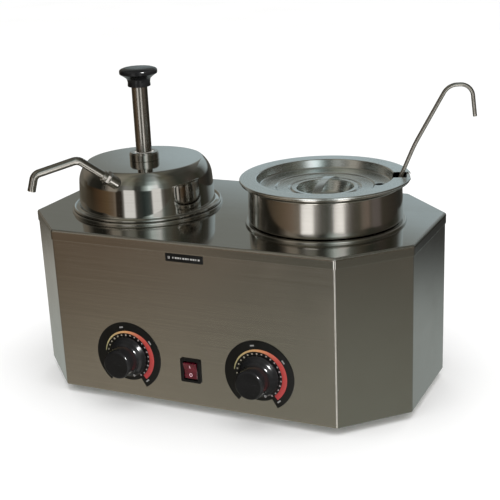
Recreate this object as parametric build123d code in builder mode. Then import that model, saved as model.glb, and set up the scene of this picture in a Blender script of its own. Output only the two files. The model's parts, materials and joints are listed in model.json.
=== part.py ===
from build123d import *
import math
import os

os.makedirs("parts", exist_ok=True)

# =====================================================================
# Twin-well countertop cheese warmer: octagonal stainless cabinet, left
# well with a food jar, domed pump lid and spout, right well with an inset
# pot, recessed lid and ladle.  Millimetres.  Origin: centre of the
# footprint on the counter.  +X right, +Y back, +Z up.
# =====================================================================

# ---------------- driving dimensions ----------------
foot_h = 8.0                    # cabinet underside above the counter
half_len, half_dep = 231.8, 126.7   # deck half length and half depth
ch_x, ch_y = 63.1, 65.2         # corner cut along X and along Y
deck_z = foot_h + 190.7         # top of the deck
sheet = 0.9                     # sheet metal thickness
deck_lip = 12.0                 # depth of the deck's turned-down flange
shell_in = 1.0                  # cabinet wall sits this far inside the deck edge

well_x, well_y = 112.8, -4.0    # well centres (mirrored in X)
well_r = 82.3                   # outside radius of a well wall
well_floor = foot_h + 40.0      # underside of a well
ring_r, ring_h = 89.2, 2.6      # well rim on the deck: radius, height

dial_x, dial_z, dial_r = 80.5, foot_h + 49.2, 40.5
switch_x, switch_z = -2.0, foot_h + 43.0
bezel_w, bezel_h = 24.5, 28.0
label_z, label_w, label_h = foot_h + 173.0, 45.0, 9.0
panel_y = -(half_dep - shell_in)     # outer face of the front panel

jar_r, jar_bead = 74.6, 76.2         # food jar wall and rim bead
jar_top = foot_h + 221.0
lid_disc_r, lid_disc_z = 67.6, foot_h + 246.1   # flat top of the pump lid
lid_wall_r = 80.2                    # pump lid wall at its foot
lid_flange_r = 87.8                  # pump lid base flange
shaft_r = 9.2                        # pump plunger shaft
cyl_ro, cyl_ri = 15.5, 13.6          # pump cylinder
stroke = 60.0                        # pump stroke
knob_top = foot_h + 353.5            # top of the pump knob
tube_r, tube_bore = 4.6, 2.6         # discharge tube
spout_dir = math.radians(-140.0)     # heading of the spout, seen from above

pot_rim_z = foot_h + 240.4           # top of the pot's rim
pot_r = 84.2                         # pot wall above the deck
pot_low_r = 77.4                     # pot wall below the deck
pot_floor = foot_h + 80.0
potlid_r = 93.7                      # pot lid rim radius
notch_a, notch_w = 17.5, 24.0        # ladle notch: angle and width

ladle_a = math.radians(25.6)         # heading of the ladle's plane
ladle_off = -5.7                     # its distance from the well axis
ladle_rod = 2.2                      # handle wire radius
ladle_tilt = math.radians(67.0)      # handle slope
bowl_r = 27.5


def octagon(d=0.0):
    """Corners of the cabinet octagon, shrunk by d."""
    n = math.hypot(ch_x, ch_y)
    nx, ny = ch_y / n, ch_x / n
    hx, hy = half_len - d, half_dep - d
    c = nx * half_len + ny * (half_dep - ch_y) - d   # chamfer line nx*x+ny*y=c
    xf, ys = (c - ny * hy) / nx, (c - nx * hx) / ny
    return [(-xf, -hy), (xf, -hy), (hx, -ys), (hx, ys), (xf, hy), (-xf, hy), (-hx, ys), (-hx, -ys)]


def lathe_plane(x, y=well_y):
    """Vertical plane through a well axis: local x = radius, local y = height."""
    return Plane(origin=(x, y, 0), x_dir=(1, 0, 0), z_dir=(0, -1, 0))


def up_axis(x, y=well_y):
    return Axis((x, y, 0), (0, 0, 1))


def save(piece, name):
    piece.part.label = name
    export_step(piece.part, f"parts/{name}.step")


# ---------------- cabinet ----------------
# Front, sides, chamfers and back folded from one strip, with an inward
# flange at the foot that the base plate screws to.
with BuildPart() as body_shell:
    with BuildSketch(Plane.XY.offset(foot_h)):
        Polygon(*octagon(shell_in), align=None)
    extrude(amount=deck_z - sheet - 0.1 - foot_h)
    with BuildSketch(Plane.XY.offset(foot_h + sheet)):
        Polygon(*octagon(shell_in + sheet), align=None)
    extrude(amount=deck_z, mode=Mode.SUBTRACT)
    with BuildSketch(Plane.XY.offset(foot_h - 1)):
        Polygon(*octagon(shell_in + 14), align=None)
    extrude(amount=5, mode=Mode.SUBTRACT)
    # thermostat bush holes and switch cut-out in the front
    with BuildSketch(Plane.XZ.offset(half_dep + 2)):
        with Locations((-dial_x, dial_z), (dial_x, dial_z)):
            Circle(5.1)
        with Locations((switch_x, switch_z)):
            Rectangle(bezel_w - 3.5, bezel_h - 3.5)
    extrude(amount=-6, mode=Mode.SUBTRACT)
    # cord gland hole and cooling slots in the back
    with BuildSketch(Plane.XZ.offset(-half_dep - 2)):
        with Locations((120, foot_h + 30)):
            Circle(8.2)
        with Locations((0, foot_h + 120)):
            with GridLocations(12, 40, 13, 2):
                SlotOverall(28, 3.0, rotation=90)
    extrude(amount=6, mode=Mode.SUBTRACT)
    # screw holes in the foot flange
    with BuildSketch(Plane.XY.offset(foot_h - 1)):
        with Locations((-150, -117.5), (150, -117.5), (-150, 117.5), (150, 117.5), (-222.5, 0), (222.5, 0)):
            Circle(1.7)
    extrude(amount=4, mode=Mode.SUBTRACT)
save(body_shell, "body_shell")

# Deck: a shallow pan turned down over the cabinet wall, two well holes.
with BuildPart() as top_deck:
    with BuildSketch(Plane.XY.offset(deck_z - deck_lip)):
        Polygon(*octagon(), align=None)
    extrude(amount=deck_lip)
    fillet(top_deck.faces().sort_by(Axis.Z)[-1].edges(), radius=2.2)
    with BuildSketch(Plane.XY.offset(deck_z - deck_lip)):
        Polygon(*octagon(sheet), align=None)
    extrude(amount=deck_lip - sheet, mode=Mode.SUBTRACT)
    with BuildSketch(Plane.XY.offset(deck_z - 5)):
        with Locations((-well_x, well_y), (well_x, well_y)):
            Circle(well_r + 0.3)
    extrude(amount=10, mode=Mode.SUBTRACT)
save(top_deck, "top_deck")

with BuildPart() as base_plate:
    with BuildSketch(Plane.XY.offset(foot_h + sheet)):
        Polygon(*octagon(shell_in + sheet + 0.4), align=None)
        with Locations((-150, -117.5), (150, -117.5), (-150, 117.5), (150, 117.5), (-222.5, 0), (222.5, 0)):
            Circle(1.7, mode=Mode.SUBTRACT)
        with Locations((-150, -85), (150, -85), (-150, 85), (150, 85)):
            Circle(2.3, mode=Mode.SUBTRACT)
        for cx in (-well_x, well_x):
            with Locations((cx, well_y)):
                with GridLocations(14, 60, 7, 2):
                    SlotOverall(40, 3.0, rotation=90, mode=Mode.SUBTRACT)
    extrude(amount=1.0)
save(base_plate, "base_plate")
plate_top = foot_h + sheet + 1.0

with BuildPart() as base_screws:
    with Locations((-150, -117.5), (150, -117.5), (-150, 117.5), (150, 117.5), (-222.5, 0), (222.5, 0)):
        with Locations((0, 0, foot_h - 2.0)):
            Cylinder(3.2, 2.0, align=(Align.CENTER, Align.CENTER, Align.MIN))
        with Locations((0, 0, foot_h - 0.5)):
            Cylinder(1.6, 6.0, align=(Align.CENTER, Align.CENTER, Align.MIN))
save(base_screws, "base_screws")

# Four moulded rubber feet with a recessed screw pocket.
feet_at = [(-150, -85), (150, -85), (-150, 85), (150, 85)]
with BuildPart() as rubber_feet:
    with BuildSketch(Plane.XY):
        with Locations(*feet_at):
            Circle(10.5)
    extrude(amount=foot_h + sheet, taper=-7)
    with BuildSketch(Plane.XY):
        with Locations(*feet_at):
            Circle(4.6)
    extrude(amount=4.0, mode=Mode.SUBTRACT)
    with BuildSketch(Plane.XY):
        with Locations(*feet_at):
            Circle(2.1)
    extrude(amount=12.0, mode=Mode.SUBTRACT)
save(rubber_feet, "rubber_feet")

with BuildPart() as foot_screws:
    for fx, fy in feet_at:
        with Locations((fx, fy, 1.6)):
            Cylinder(4.0, 2.4, align=(Align.CENTER, Align.CENTER, Align.MIN))
        with Locations((fx, fy, 3.5)):
            Cylinder(2.0, 9.5, align=(Align.CENTER, Align.CENTER, Align.MIN))
        with Locations((fx, fy, plate_top)):
            Cylinder(4.0, 2.4, align=(Align.CENTER, Align.CENTER, Align.MIN))
save(foot_screws, "foot_screws")

# ---------------- wells, heaters, controls ----------------
for side, s in (("left", -1), ("right", 1)):
    wx = s * well_x
    # Water vessel: spun cup with a raised rim bead that sits on the deck.
    with BuildPart() as well:
        with BuildSketch(lathe_plane(wx)):
            with BuildLine():
                FilletPolyline((0, well_floor), (well_r, well_floor), (well_r, deck_z + ring_h - sheet), (ring_r - sheet, deck_z + ring_h - sheet),
                               (ring_r - sheet, deck_z + 0.02), radius=[9, 1.0, 1.2])
                offset(amount=sheet, side=Side.LEFT)
            make_face()
        revolve(axis=up_axis(wx))
    save(well, f"well_{side}")

    # Flat ring element pressed on the well floor.
    with BuildPart() as heater:
        with BuildSketch(Plane.XY.offset(well_floor - 4.0)):
            with Locations((wx, well_y)):
                Circle(62)
                Circle(24, mode=Mode.SUBTRACT)
        extrude(amount=4.0)
        with BuildSketch(Plane.XY.offset(well_floor - 9.0)):
            with Locations((wx - s * 55, well_y - 9), (wx - s * 55, well_y + 9)):
                Rectangle(6, 4)
        extrude(amount=5.0)
    save(heater, f"heater_{side}")

    # Clamp bar and its nut holding the element up.
    with BuildPart() as clamp:
        with BuildSketch(Plane.XY.offset(well_floor - 6.0)):
            with Locations((wx, well_y)):
                SlotOverall(116, 16, rotation=90)
                Circle(3.2, mode=Mode.SUBTRACT)
        extrude(amount=2.0)
        with BuildSketch(Plane.XY.offset(well_floor - 12.0)):
            with Locations((wx, well_y)):
                Circle(3.0)
        extrude(amount=12.0)
        with BuildSketch(Plane.XY.offset(well_floor - 10.5)):
            with Locations((wx, well_y)):
                RegularPolygon(6.5, 6)
        extrude(amount=4.5)
    save(clamp, f"heater_clamp_{side}")

    dx = s * dial_x
    # Bulb thermostat behind the panel, with its threaded bush.
    with BuildPart() as thermostat:
        with BuildSketch(Plane.XZ.offset(-(panel_y + sheet))):
            with Locations((dx, dial_z)):
                RectangleRounded(40, 34, 4)
        extrude(amount=-27)
        with BuildSketch(Plane.XZ.offset(-(panel_y + sheet))):
            with Locations((dx, dial_z)):
                Circle(4.9)
        extrude(amount=7.0)
        with BuildSketch(Plane.XZ.offset(-(panel_y - 20))):
            with Locations((dx, dial_z)):
                Circle(3.05)
        extrude(amount=-41.5, mode=Mode.SUBTRACT)
        with BuildSketch(Plane.XZ.offset(-(panel_y + sheet + 27))):
            with Locations((dx - s * 10, dial_z + 8), (dx - s * 10, dial_z - 8)):
                Rectangle(6.3, 1.2)
        extrude(amount=-8)
    save(thermostat, f"thermostat_{side}")

    with BuildPart() as bush_nut:
        with BuildSketch(Plane.XZ.offset(-(panel_y - 1.0))):
            with Locations((dx, dial_z)):
                RegularPolygon(7.6, 6)
                Circle(4.9, mode=Mode.SUBTRACT)
        extrude(amount=2.8)
    save(bush_nut, f"thermostat_nut_{side}")

    # Sensing bulb strapped to the well wall, with its capillary.
    bx, by = wx - s * 30.0, well_y - math.sqrt((well_r + 3.2) ** 2 - 30.0 ** 2)
    with BuildPart() as bulb:
        with Locations((bx, by, foot_h + 80)):
            Cylinder(3.1, 60, align=(Align.CENTER, Align.CENTER, Align.MIN))
        with BuildLine():
            FilletPolyline((dx, panel_y + sheet + 14, dial_z + 17), (dx, panel_y + sheet + 14, foot_h + 72),
                           (bx, by, foot_h + 72), (bx, by, foot_h + 80.5), radius=2.6)
        with BuildSketch(Plane(origin=(dx, panel_y + sheet + 14, dial_z + 17), z_dir=(0, 0, 1))):
            Circle(0.9)
        sweep()
    save(bulb, f"sensor_bulb_{side}")

    # Dial plate: black disc with a gap between 232 and 300 degrees.
    with BuildPart() as plate:
        with BuildSketch(Plane.XZ.offset(-panel_y)):
            with Locations((dx, dial_z)):
                Circle(dial_r)
                Circle(5.0, mode=Mode.SUBTRACT)
            with BuildLine(mode=Mode.ADD):
                a0, a1 = math.radians(232), math.radians(300)
                ri = 29.0
                Polyline((dx + ri * math.cos(a0), dial_z + ri * math.sin(a0)),
                         (dx + 60 * math.cos(a0), dial_z + 60 * math.sin(a0)),
                         (dx + 60 * math.cos(a1), dial_z + 60 * math.sin(a1)),
                         (dx + ri * math.cos(a1), dial_z + ri * math.sin(a1)))
                RadiusArc((dx + ri * math.cos(a1), dial_z + ri * math.sin(a1)),
                          (dx + ri * math.cos(a0), dial_z + ri * math.sin(a0)), ri)
            make_face(mode=Mode.SUBTRACT)
        extrude(amount=1.0)
    save(plate, f"dial_plate_{side}")

    # Control knob: skirt, cylindrical grip, pocket over the bush nut.
    with BuildPart() as dial_knob:
        with BuildSketch(Plane(origin=(dx, 0, dial_z), x_dir=(1, 0, 0), z_dir=(0, 0, 1))):
            with BuildLine():
                FilletPolyline((3.0, panel_y - 14), (3.0, panel_y - 7.2), (10.5, panel_y - 7.2), (10.5, panel_y - 2.2),
                               (24.0, panel_y - 2.2), (24.0, panel_y - 8.5), (17.0, panel_y - 11.0),
                               (16.4, panel_y - 28.5), (0, panel_y - 28.5), radius=[0.2, 0.2, 0.4, 0.8, 2.0, 1.2, 2.2])
                Polyline((0, panel_y - 28.5), (0, panel_y - 14), (3.0, panel_y - 14))
            make_face()
        revolve(axis=Axis((dx, 0, dial_z), (0, 1, 0)))
        # pointer rib on the skirt
        with BuildSketch(Plane.XZ.offset(-(panel_y - 7.5))):
            with Locations((dx + 20.2 * math.cos(math.radians(-62)), dial_z + 20.2 * math.sin(math.radians(-62)))):
                SlotOverall(7.0, 2.2, rotation=-62)
        extrude(amount=2.6)
    save(dial_knob, f"dial_knob_{side}")

    with BuildPart() as control_shaft:
        with BuildSketch(Plane.XZ.offset(-(panel_y + sheet + 20))):
            with Locations((dx, dial_z)):
                Circle(3.0)
        extrude(amount=sheet + 20 + 14)
    save(control_shaft, f"control_shaft_{side}")

# Lighted rocker switch: snap-in housing with a bezel, tilting lens.
with BuildPart() as switch_housing:
    with BuildSketch(Plane.XZ.offset(-panel_y)):
        with Locations((switch_x, switch_z)):
            RectangleRounded(bezel_w, bezel_h, 1.6)
    extrude(amount=2.2)
    chamfer(switch_housing.faces().sort_by(Axis.Y)[0].edges(), length=0.7)
    with BuildSketch(Plane.XZ.offset(-panel_y)):
        with Locations((switch_x, switch_z)):
            Rectangle(bezel_w - 4.0, bezel_h - 4.0)
    extrude(amount=-22)
    with BuildSketch(Plane.XZ.offset(-(panel_y - 3))):
        with Locations((switch_x, switch_z)):
            Rectangle(16.6, 21.6)
    extrude(amount=-14, mode=Mode.SUBTRACT)
    # sockets for the rocker's pivot pins
    with BuildSketch(Plane.YZ.offset(switch_x - 9.9)):
        with Locations((panel_y, switch_z)):
            Circle(1.3)
    extrude(amount=19.8, mode=Mode.SUBTRACT)
    with BuildSketch(Plane.XZ.offset(-(panel_y + 22))):
        with Locations((switch_x, switch_z + 8), (switch_x, switch_z), (switch_x, switch_z - 8)):
            Rectangle(0.8, 4.8)
    extrude(amount=-8)
save(switch_housing, "switch_housing")

with BuildPart() as rocker_lens:
    with BuildSketch(Plane.YZ.offset(switch_x - 7.9)):
        with BuildLine():
            Polyline((panel_y - 4.4, switch_z + 9.6), (panel_y + 4.5, switch_z + 9.2), (panel_y + 6.5, switch_z),
                     (panel_y + 4.5, switch_z - 9.2), (panel_y - 1.2, switch_z - 9.6))
            ThreePointArc((panel_y - 1.2, switch_z - 9.6), (panel_y - 1.7, switch_z - 0.6), (panel_y - 4.4, switch_z + 9.6))
        make_face()
    extrude(amount=15.8)
    # pivot pins
    with BuildSketch(Plane.YZ.offset(switch_x - 9.4)):
        with Locations((panel_y, switch_z)):
            Circle(1.2)
    extrude(amount=18.8)
save(rocker_lens, "rocker_lens")

with BuildPart() as label_plate:
    with BuildSketch(Plane.XZ.offset(-panel_y)):
        with Locations((switch_x, label_z)):
            RectangleRounded(label_w, label_h, 0.8)
    extrude(amount=0.5)
save(label_plate, "label_plate")

# Terminal block on the base plate, cord gland with lock nut in the back.
with BuildPart() as terminal_block:
    with Locations((0, 96, plate_top)):
        Box(64, 20, 14, align=(Align.CENTER, Align.CENTER, Align.MIN))
    with Locations((0, 96, plate_top + 14)):
        Box(64, 8, 4, align=(Align.CENTER, Align.CENTER, Align.MIN))
    with BuildSketch(Plane.XY.offset(plate_top + 14.2)):
        with Locations((0, 96)):
            with GridLocations(12.5, 14.5, 5, 2):
                Circle(2.3)
    extrude(amount=-6, mode=Mode.SUBTRACT)
save(terminal_block, "terminal_block")

gl_x, gl_z = 120.0, foot_h + 30.0
back_y = half_dep - shell_in
gl_pl = Plane(origin=(gl_x, back_y, gl_z), x_dir=(-1, 0, 0), z_dir=(0, 1, 0))
with BuildPart() as cord_gland:
    with BuildSketch(gl_pl):
        Circle(8.0)
    extrude(amount=-12)
    with BuildSketch(gl_pl):
        RegularPolygon(11.5, 6)
    extrude(amount=0.6)
    with BuildSketch(gl_pl.offset(0.6)):
        Circle(9.4)
    extrude(amount=0.4)
    with BuildSketch(gl_pl.offset(-13)):
        Circle(4.2)
    extrude(amount=20, mode=Mode.SUBTRACT)
save(cord_gland, "cord_gland")

with BuildPart() as gland_nut:
    with BuildSketch(gl_pl.offset(-sheet)):
        RegularPolygon(12.0, 6)
        Circle(8.05, mode=Mode.SUBTRACT)
    extrude(amount=-4)
save(gland_nut, "gland_nut")

# Point-to-point wiring: supply, switch, thermostats, elements.
sw_y, th_y = panel_y + 30.5, panel_y + sheet + 35.5
routes = [
    [(gl_x, 112, gl_z - 1.2), (gl_x, 96, gl_z - 1.2), (60, 96, gl_z - 1.2), (60, 96, plate_top + 9), (33, 96, plate_top + 9)],
    [(-8, 85.5, 20), (-8, -60, 20), (switch_x, -80, switch_z - 8), (switch_x, sw_y, switch_z - 8)],
    [(switch_x, sw_y, switch_z), (switch_x, -78, switch_z), (-40, -78, 34), (-dial_x + 10, -80, dial_z - 8), (-dial_x + 10, th_y, dial_z - 8)],
    [(switch_x, sw_y, switch_z + 8), (switch_x, -74, switch_z + 8), (40, -74, 34), (dial_x - 10, -80, dial_z - 8), (dial_x - 10, th_y, dial_z - 8)],
    [(-12, 85.5, 23), (-12, 20, 23), (-well_x + 55, well_y + 9, 28), (-well_x + 55, well_y + 9, well_floor - 9)],
    [(12, 85.5, 23), (12, 20, 23), (well_x - 55, well_y + 9, 28), (well_x - 55, well_y + 9, well_floor - 9)],
]
with BuildPart() as wiring:
    for pts in routes:
        with BuildLine() as run:
            FilletPolyline(*pts, radius=4.0)
        p0, p1 = Vector(*pts[0]), Vector(*pts[1])
        with BuildSketch(Plane(origin=p0, z_dir=(p1 - p0).normalized())):
            Circle(1.1)
        sweep(path=run.line)
save(wiring, "wiring")

# ---------------- left well: jar and pump ----------------
ax_l = up_axis(-well_x)
lp = lathe_plane(-well_x)
jar_floor = well_floor + sheet + 0.4
with BuildPart() as food_jar:
    with BuildSketch(lp):
        with BuildLine():
            FilletPolyline((0, jar_floor), (jar_r, jar_floor), (jar_r, jar_top - 3.2), (jar_bead, jar_top - 2.6),
                           (jar_bead, jar_top), radius=[6, 0.5, 0.6])
            offset(amount=0.7, side=Side.LEFT)
        make_face()
    revolve(axis=ax_l)
save(food_jar, "food_jar")

# Pump lid: flat disc with a crisp edge, curved shoulder, slightly tapered
# wall and a rolled base flange that rests on the well rim.
fl_z = deck_z + ring_h + 0.3
F = Vector(-well_x + 2.3, well_y - 74.8, foot_h + 237.4)       # where the spout leaves the shoulder
rise = math.atan2(29.2, 37.9)
sd = Vector(math.cos(rise) * math.cos(spout_dir), math.cos(rise) * math.sin(spout_dir), math.sin(rise))
with BuildPart() as pump_lid:
    with BuildSketch(lp):
        with BuildLine():
            Polyline((cyl_ro + 0.1, lid_disc_z), (lid_disc_r, lid_disc_z))
            ThreePointArc((lid_disc_r, lid_disc_z), (75.0, foot_h + 236.9), (78.3, foot_h + 224.5))
            FilletPolyline((78.3, foot_h + 224.5), (lid_wall_r, fl_z + 2.2), (lid_flange_r - 1.6, fl_z + 1.2), radius=1.4)
            offset(amount=sheet, side=Side.RIGHT)
        make_face()
    revolve(axis=ax_l)
    with BuildSketch(lp):
        with Locations((lid_flange_r - 1.6, fl_z + 1.6)):
            Circle(1.6)
    revolve(axis=ax_l)
    # hole for the discharge tube
    with BuildSketch(Plane(origin=F - sd * 8, z_dir=sd)):
        Circle(tube_r + 0.5)
    extrude(amount=16, mode=Mode.SUBTRACT)
save(pump_lid, "pump_lid")

# Collar nut clamping the cylinder's threaded top in the lid.
with BuildPart() as collar_nut:
    with BuildSketch(Plane.XY.offset(lid_disc_z)):
        with Locations((-well_x, well_y)):
            Circle(17.4)
            Circle(cyl_ro, mode=Mode.SUBTRACT)
    extrude(amount=8.0)
    chamfer(collar_nut.faces().sort_by(Axis.Z)[-1].edges().sort_by(SortBy.LENGTH)[-1], length=0.8)
    with BuildSketch(Plane.XY.offset(lid_disc_z + 8.0)):
        with Locations((-well_x, well_y)):
            Circle(16.6)
            Circle(11.6, mode=Mode.SUBTRACT)
    extrude(amount=1.4)
save(collar_nut, "collar_nut")

with BuildPart() as cylinder_nut:
    with BuildSketch(Plane.XY.offset(lid_disc_z - sheet - 5.0)):
        with Locations((-well_x, well_y)):
            RegularPolygon(21.0, 6)
            Circle(cyl_ro, mode=Mode.SUBTRACT)
    extrude(amount=5.0)
save(cylinder_nut, "cylinder_nut")

cyl_top = lid_disc_z + 7.9
cyl_bot = foot_h + 70.0
with BuildPart() as pump_cylinder:
    with BuildSketch(Plane.XY.offset(cyl_bot)):
        with Locations((-well_x, well_y)):
            Circle(cyl_ro)
            Circle(cyl_ri, mode=Mode.SUBTRACT)
    extrude(amount=cyl_top - cyl_bot)
save(pump_cylinder, "pump_cylinder")

bush_z = cyl_top - 22.0
with BuildPart() as guide_bushing:
    with BuildSketch(Plane.XY.offset(bush_z)):
        with Locations((-well_x, well_y)):
            Circle(cyl_ri)
            Circle(shaft_r + 0.08, mode=Mode.SUBTRACT)
    extrude(amount=cyl_top - bush_z)
    with BuildSketch(Plane.XY.offset(cyl_top)):
        with Locations((-well_x, well_y)):
            Circle(11.4)
            Circle(shaft_r + 0.08, mode=Mode.SUBTRACT)
    extrude(amount=2.3)
save(guide_bushing, "guide_bushing")

# Plunger: shaft, knob, piston and its seal, moving down together.
piston_top = foot_h + 204.0
piston_h = 14.0
with BuildPart() as plunger_shaft:
    with BuildSketch(Plane.XY.offset(piston_top - piston_h + 2)):
        with Locations((-well_x, well_y)):
            Circle(5.0)
    extrude(amount=piston_h - 2)
    with BuildSketch(Plane.XY.offset(piston_top)):
        with Locations((-well_x, well_y)):
            Circle(shaft_r)
    extrude(amount=knob_top - 12.0 - piston_top)
save(plunger_shaft, "plunger_shaft")

with BuildPart() as pump_knob:
    with BuildSketch(lp):
        with BuildLine():
            FilletPolyline((shaft_r, knob_top - 22.0), (13.4, knob_top - 22.0), (13.2, knob_top - 13.5), (18.5, knob_top - 9.0),
                           (21.9, knob_top - 7.0), (21.9, knob_top - 1.6), (12.0, knob_top - 0.1), (0, knob_top),
                           radius=[1.0, 3.0, 1.0, 1.8, 2.0, 20.0])
            Polyline((0, knob_top), (0, knob_top - 12.0), (shaft_r, knob_top - 12.0), (shaft_r, knob_top - 22.0))
        make_face()
    revolve(axis=ax_l)
save(pump_knob, "pump_knob")

with BuildPart() as piston:
    with BuildSketch(Plane.XY.offset(piston_top - piston_h)):
        with Locations((-well_x, well_y)):
            Circle(cyl_ri - 0.6)
    extrude(amount=piston_h)
    with BuildSketch(Plane.XY.offset(piston_top - 10.0)):
        with Locations((-well_x, well_y)):
            Circle(cyl_ri + 1)
            Circle(cyl_ri - 2.6, mode=Mode.SUBTRACT)
    extrude(amount=4.0, mode=Mode.SUBTRACT)
    with BuildSketch(Plane.XY.offset(piston_top - piston_h + 2)):
        with Locations((-well_x, well_y)):
            Circle(5.0)
    extrude(amount=piston_h, mode=Mode.SUBTRACT)
save(piston, "piston")

with BuildPart() as piston_seal:
    with BuildSketch(lp):
        with Locations((cyl_ri - 1.35, piston_top - 8.0)):
            RectangleRounded(2.4, 3.6, 0.8)
    revolve(axis=ax_l)
save(piston_seal, "piston_seal")

# Return spring between the cylinder foot and the piston.
spring_lo = cyl_bot + 8.2
spring_hi = piston_top - piston_h - 0.4
with BuildPart() as return_spring:
    with BuildLine() as coil:
        Helix(pitch=(spring_hi - spring_lo - 2.0) / 12, height=spring_hi - spring_lo - 2.0, radius=10.2,
              center=(-well_x, well_y, spring_lo + 1.0))
    with BuildSketch(Plane(origin=coil.line @ 0, z_dir=coil.line % 0)):
        Circle(0.9)
    sweep(path=coil.line, is_frenet=True)
save(return_spring, "return_spring")

# Valve body at the foot of the cylinder: inlet seat, side port to the riser.
rx, ry = -well_x + 7.0, well_y - 27.0
with BuildPart() as valve_body:
    with BuildSketch(Plane.XY.offset(cyl_bot - 14.0)):
        with Locations((-well_x, well_y)):
            Circle(17.5)
        with BuildLine():
            Polyline((-well_x - 8, well_y), (-well_x + 12, well_y), (rx + 7.5, ry), (rx - 7.5, ry), (-well_x - 8, well_y))
        make_face()
        with Locations((rx, ry)):
            Circle(7.5)
    extrude(amount=14.0)
    with BuildSketch(Plane.XY.offset(cyl_bot)):
        with Locations((-well_x, well_y)):
            Circle(cyl_ri - 0.1)
            Circle(8.0, mode=Mode.SUBTRACT)
    extrude(amount=8.0)
    with BuildSketch(Plane.XY.offset(cyl_bot - 15)):
        with Locations((-well_x, well_y)):
            Circle(5.0)
    extrude(amount=30, mode=Mode.SUBTRACT)
    with BuildSketch(Plane.XY.offset(cyl_bot - 8)):
        with Locations((-well_x, well_y)):
            Circle(8.0)
    extrude(amount=30, mode=Mode.SUBTRACT)
    # riser socket and cross port
    with BuildSketch(Plane.XY.offset(cyl_bot - 6)):
        with Locations((rx, ry)):
            Circle(tube_r)
    extrude(amount=8, mode=Mode.SUBTRACT)
    port = Vector(rx + well_x, ry - well_y, 0)
    with BuildSketch(Plane(origin=(-well_x, well_y, cyl_bot - 7.5), z_dir=port.normalized())):
        Circle(2.0)
    extrude(amount=port.length, mode=Mode.SUBTRACT)
save(valve_body, "valve_body")

with BuildPart() as inlet_ball:
    with Locations((-well_x, well_y, cyl_bot - 8 + math.sqrt(6.2 ** 2 - 5.0 ** 2) + 0.02)):
        Sphere(6.2)
save(inlet_ball, "inlet_ball")

# Discharge tube: riser in the jar, out through the shoulder, over and down.
hd = Vector(math.cos(spout_dir), math.sin(spout_dir), 0)
zf = Vector(0, 0, 1)
tube_pts = [Vector(rx, ry, cyl_bot - 6), Vector(rx, ry, foot_h + 199), F - sd * 22.0,
            F + hd * 37.9 + zf * (29.2), F + hd * 86.6 + zf * (17.6), F + hd * 91.6 - zf * 0.6]
with BuildPart() as discharge_tube:
    with BuildLine() as route:
        FilletPolyline(*tube_pts, radius=[11.0, 12.0, 11.0, 9.0])
    with BuildSketch(Plane(origin=tube_pts[0], z_dir=(0, 0, 1))):
        Circle(tube_r)
        Circle(tube_bore, mode=Mode.SUBTRACT)
    sweep(path=route.line)
save(discharge_tube, "discharge_tube")

# Coupling where the tube leaves the lid's shoulder: a boss cut to the
# shoulder, a hex and a short collar.
with BuildPart() as spout_coupling:
    with BuildSketch(Plane(origin=F - sd * 6.0, z_dir=sd)):
        Circle(7.0)
    extrude(amount=12.0)
    with BuildSketch(Plane(origin=F + sd * 6.0, z_dir=sd)):
        RegularPolygon(8.2, 6)
    extrude(amount=5.0)
    with BuildSketch(Plane(origin=F + sd * 11.0, z_dir=sd)):
        Circle(6.6)
    extrude(amount=3.5)
    with BuildSketch(lp):
        with BuildLine():
            Polyline((0, lid_disc_z + 0.05), (lid_disc_r, lid_disc_z + 0.05))
            ThreePointArc((lid_disc_r, lid_disc_z + 0.05), (75.05, foot_h + 236.95), (78.35, foot_h + 224.5))
            Polyline((78.35, foot_h + 224.5), (78.35, foot_h + 200), (0, foot_h + 200), (0, lid_disc_z + 0.05))
        make_face()
    revolve(axis=ax_l, mode=Mode.SUBTRACT)
    with BuildSketch(Plane(origin=F - sd * 10.0, z_dir=sd)):
        Circle(tube_r + 0.02)
    extrude(amount=30, mode=Mode.SUBTRACT)
save(spout_coupling, "spout_coupling")

# ---------------- right well: pot, lid, ladle ----------------
ax_r = up_axis(well_x)
rp = lathe_plane(well_x)
step_z = deck_z + ring_h + 0.3
with BuildPart() as inset_pot:
    with BuildSketch(rp):
        with BuildLine():
            FilletPolyline((0, pot_floor), (pot_low_r - 2.5, pot_floor), (pot_low_r, step_z), (pot_r + 1.2, step_z),
                           (pot_r, foot_h + 231.0), (89.8, pot_rim_z - 1.0), (91.8, pot_rim_z - 1.0),
                           (91.8, pot_rim_z - 4.0), radius=[14, 1.0, 6.6, 2.5, 0.9, 0.9])
            offset(amount=0.8, side=Side.LEFT)
        make_face()
    revolve(axis=ax_r)
save(inset_pot, "inset_pot")

# Pot lid: wide flat rim, recessed dish floor, grooved hand cup, slot notch.
lt = pot_rim_z + 1.0
with BuildPart() as pot_lid:
    with BuildSketch(rp):
        with BuildLine():
            FilletPolyline((0, foot_h + 214.2), (26.0, foot_h + 214.2), (31.5, foot_h + 229.2), (36.5, foot_h + 229.4),
                           (38.4, foot_h + 227.6), (40.4, foot_h + 229.0), (53.0, foot_h + 229.6), (54.5, foot_h + 230.8),
                           (72.4, foot_h + 231.6), (75.0, lt), (potlid_r, lt), (potlid_r, lt - 1.9),
                           radius=[6, 1.6, 1.0, 0.6, 0.8, 1.0, 1.0, 2.4, 1.4, 1.0])
            offset(amount=0.8, side=Side.RIGHT)
        make_face()
    revolve(axis=ax_r)
    na = math.radians(notch_a)
    with BuildSketch(Plane(origin=(well_x, well_y, foot_h + 205), x_dir=(math.cos(na), math.sin(na), 0), z_dir=(0, 0, 1))):
        with Locations((73.4 + 20, 0)):
            RectangleRounded(40, notch_w, 3.0)
    extrude(amount=60, mode=Mode.SUBTRACT)
    # steam slot in the dish floor
    with BuildSketch(Plane(origin=(well_x, well_y, foot_h + 222), x_dir=(math.cos(na), math.sin(na), 0), z_dir=(0, 0, 1))):
        SlotArc(CenterArc((0, 0), 58, -8, 16), 2.4)
    extrude(amount=20, mode=Mode.SUBTRACT)
save(pot_lid, "pot_lid")

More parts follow.
